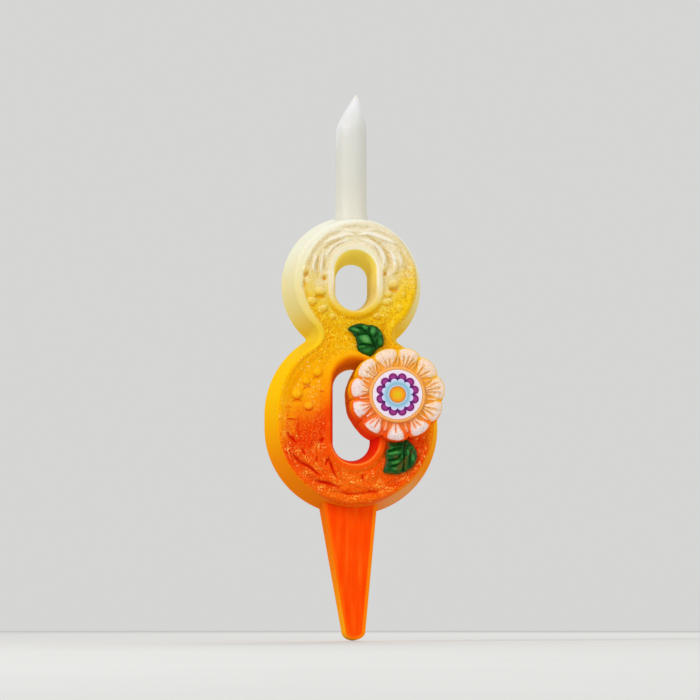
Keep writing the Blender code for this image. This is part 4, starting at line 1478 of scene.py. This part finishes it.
def printed_disc():
    """A printed round flower: purple scallops, a pale blue lobed ring and an orange middle."""
    paint = Paint("printed_disc", 0.35, Specular_IOR_Level=0.25)
    right = (paint.x - DISC_X) / (DISC_RADIUS * PRINT_SPREAD)
    up = (paint.z - DISC_Z) / (DISC_RADIUS * PRINT_SPREAD)
    radius = (right * right + up * up).math("SQRT")
    angle = right.math("ARCTAN2", up)
    turn = math.tau / PRINTED_PETALS
    folded = (angle + math.tau).math("FLOORED_MODULO", turn) - turn / 2
    across = radius * folded.math("SINE")
    outward = radius * folded.math("COSINE")

    def lobe(middle, size):
        """Distance from the middle of the nearest lobe, as a share of its size."""
        along = outward - middle
        return (across * across + along * along).math("SQRT") / size

    def inside(value, edge, soft=0.02):
        return value.step(edge + soft, edge - soft)

    wash = paint.noise(1.1, 2) - 0.5
    scallops = inside(lobe(0.64, 0.172), 1.0, 0.06).most(inside(radius, 0.66))
    purple = paint.layers(
        paint.ramp(radius + wash * 0.05, PURPLE_COLOURS),
        (inside(lobe(0.665, 0.09), 1.0, 0.25) * 0.75, (164, 54, 134)),
    )
    blue_lobes = inside(lobe(0.47, 0.128), 1.0, 0.06).most(inside(radius, 0.485))
    base = paint.layers(
        paint.mix(wash + 0.5, (228, 214, 234), (238, 230, 240)),
        (radius.step(0.87, 0.91) * 0.5, (250, 232, 214)),
        (inside(lobe(0.64, 0.215), 1.0, 0.12) * 0.5, (240, 196, 232)),
        (scallops, purple),
        (blue_lobes, paint.ramp(radius + wash * 0.04, BLUE_COLOURS)),
        (inside((radius - 0.335).size(), 0.022, 0.02) * 0.6, (206, 216, 216)),
        (inside(radius, 0.31, 0.015), paint.ramp(radius + wash * 0.06, CORE_COLOURS)),
    )
    paint.bump(paint.noise(0.4, 2), 0.01, 0.4)
    return paint.finish(base)


def leaf_wax():
    """Dark green wax, with painted highlights on the raised parts and painted shade in the cut
    veins, and brown where the orange shows through.
    """
    paint = Paint("leaf_wax", 0.34, Subsurface_Weight=0.04, Subsurface_Scale=0.0006,
                  Specular_IOR_Level=0.22)
    vein, light, edge = paint.value("vein"), paint.value("light"), paint.value("edge")
    cloudy = paint.noise(1.8, 3) - 0.5
    brush = paint.noise(0.5, 3, stretch=(2.5, 1, 1)) - 0.5
    # Painted highlight: paler green on the raised bulges.
    green = paint.ramp(light + cloudy * 0.7 + brush * 0.7, (
        (-0.4, (0, 62, 6)), (0.1, (2, 80, 12)), (0.5, (20, 104, 26)), (0.9, (46, 130, 52)),
        (1.2, (96, 162, 82)),
    ))
    on_lower = paint.z.step(40, 30)
    brown = on_lower * (paint.noise(2.0, 2) + edge * 0.15).step(0.52, 0.66)
    base = paint.layers(
        green,
        # Painted shade: darker green in the cut veins.
        (vein.clamp() * 0.8, (0, 52, 6)),
        (edge * 0.45, (8, 58, 4)),
        (brown * 0.55, (104, 78, 12)),
    )
    paint.bump(paint.noise(0.5, 3) + brush, 0.08, 0.7)
    return paint.finish(base, 0.36 + brush * 0.3)


# ---------------------------------------------------------------- the scene


def dress(obj, surface, node):
    """Gives a piece its material, hangs it under the root, and hides the CAD piece it stands for.
    """
    obj.data.materials.append(surface)
    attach(obj, "root")
    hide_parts(node)


def area_light(name, place, power, size):
    lamp = bpy.data.lights.new(name, "AREA")
    lamp.shape = "DISK"
    lamp.size = size
    lamp.energy = power
    obj = bpy.data.objects.new(name, lamp)
    bpy.context.scene.collection.objects.link(obj)
    obj.location = place
    aim = Vector((0, 0, 0.045)) - obj.location
    obj.rotation_euler = aim.to_track_quat("-Z", "Y").to_euler()


def make_camera():
    """A long lens, a little to the left of the candle and a little below its middle."""
    distance, azimuth, elevation = 0.9, math.radians(-4.6), math.radians(-5.2)
    frame_width = 0.210
    target = Vector((-0.0003, BACK_Y * MM, 0.0495))
    camera = bpy.data.cameras.new("camera")
    camera.lens = camera.sensor_width * distance / frame_width
    camera.clip_start = 0.01
    obj = bpy.data.objects.new("camera", camera)
    bpy.context.scene.collection.objects.link(obj)
    obj.location = target + distance * Vector((
        math.sin(azimuth) * math.cos(elevation),
        -math.cos(azimuth) * math.cos(elevation),
        math.sin(elevation),
    ))
    obj.rotation_euler = (target - obj.location).to_track_quat("-Z", "Y").to_euler()
    bpy.context.scene.camera = obj


def make_floor(surface):
    bpy.ops.mesh.primitive_circle_add(
        vertices=96, radius=1.2, fill_type="NGON", location=(0, 0, cad_box[0][2] - 0.0002)
    )
    floor = bpy.context.object
    floor.name = "floor"
    floor.data.materials.append(surface)


def floor_material():
    paint = Paint("floor", 0.9)
    return paint.finish(paint.mix(paint.noise(60.0, 2), (214, 214, 212), (220, 220, 218)))


def make_world():
    world = bpy.data.worlds.new("studio")
    bpy.context.scene.world = world
    world.use_nodes = True
    background = world.node_tree.nodes["Background"]
    background.inputs["Color"].default_value = (0.93, 0.93, 0.92, 1)
    background.inputs["Strength"].default_value = 0.72


def make_scene():
    make_camera()
    dress(make_digit(), digit_wax(), "digit_body")
    dress(make_stake(), stake_wax(), "cake_stake")
    dress(make_stem(), stem_wax(), "wick_stem")
    dress(make_wick(), wick_cotton(), "wick")
    dress(make_flower(), flower_wax(), "flower")
    dress(make_medallion(), printed_disc(), "medallion")
    leaf = leaf_wax()
    dress(make_leaf("leaf_upper_wax"), leaf, "leaf_upper")
    dress(make_leaf("leaf_lower_wax"), leaf, "leaf_lower")
    make_floor(floor_material())
    make_world()
    area_light("key", (-0.6, -0.6, 0.5), 3.6, 0.4)
    area_light("fill", (0.75, -0.6, 0.2), 1.8, 0.6)
    area_light("back", (0.2, 0.7, 0.6), 2.0, 0.5)
    bpy.context.scene.view_settings.view_transform = "Standard"


make_scene()
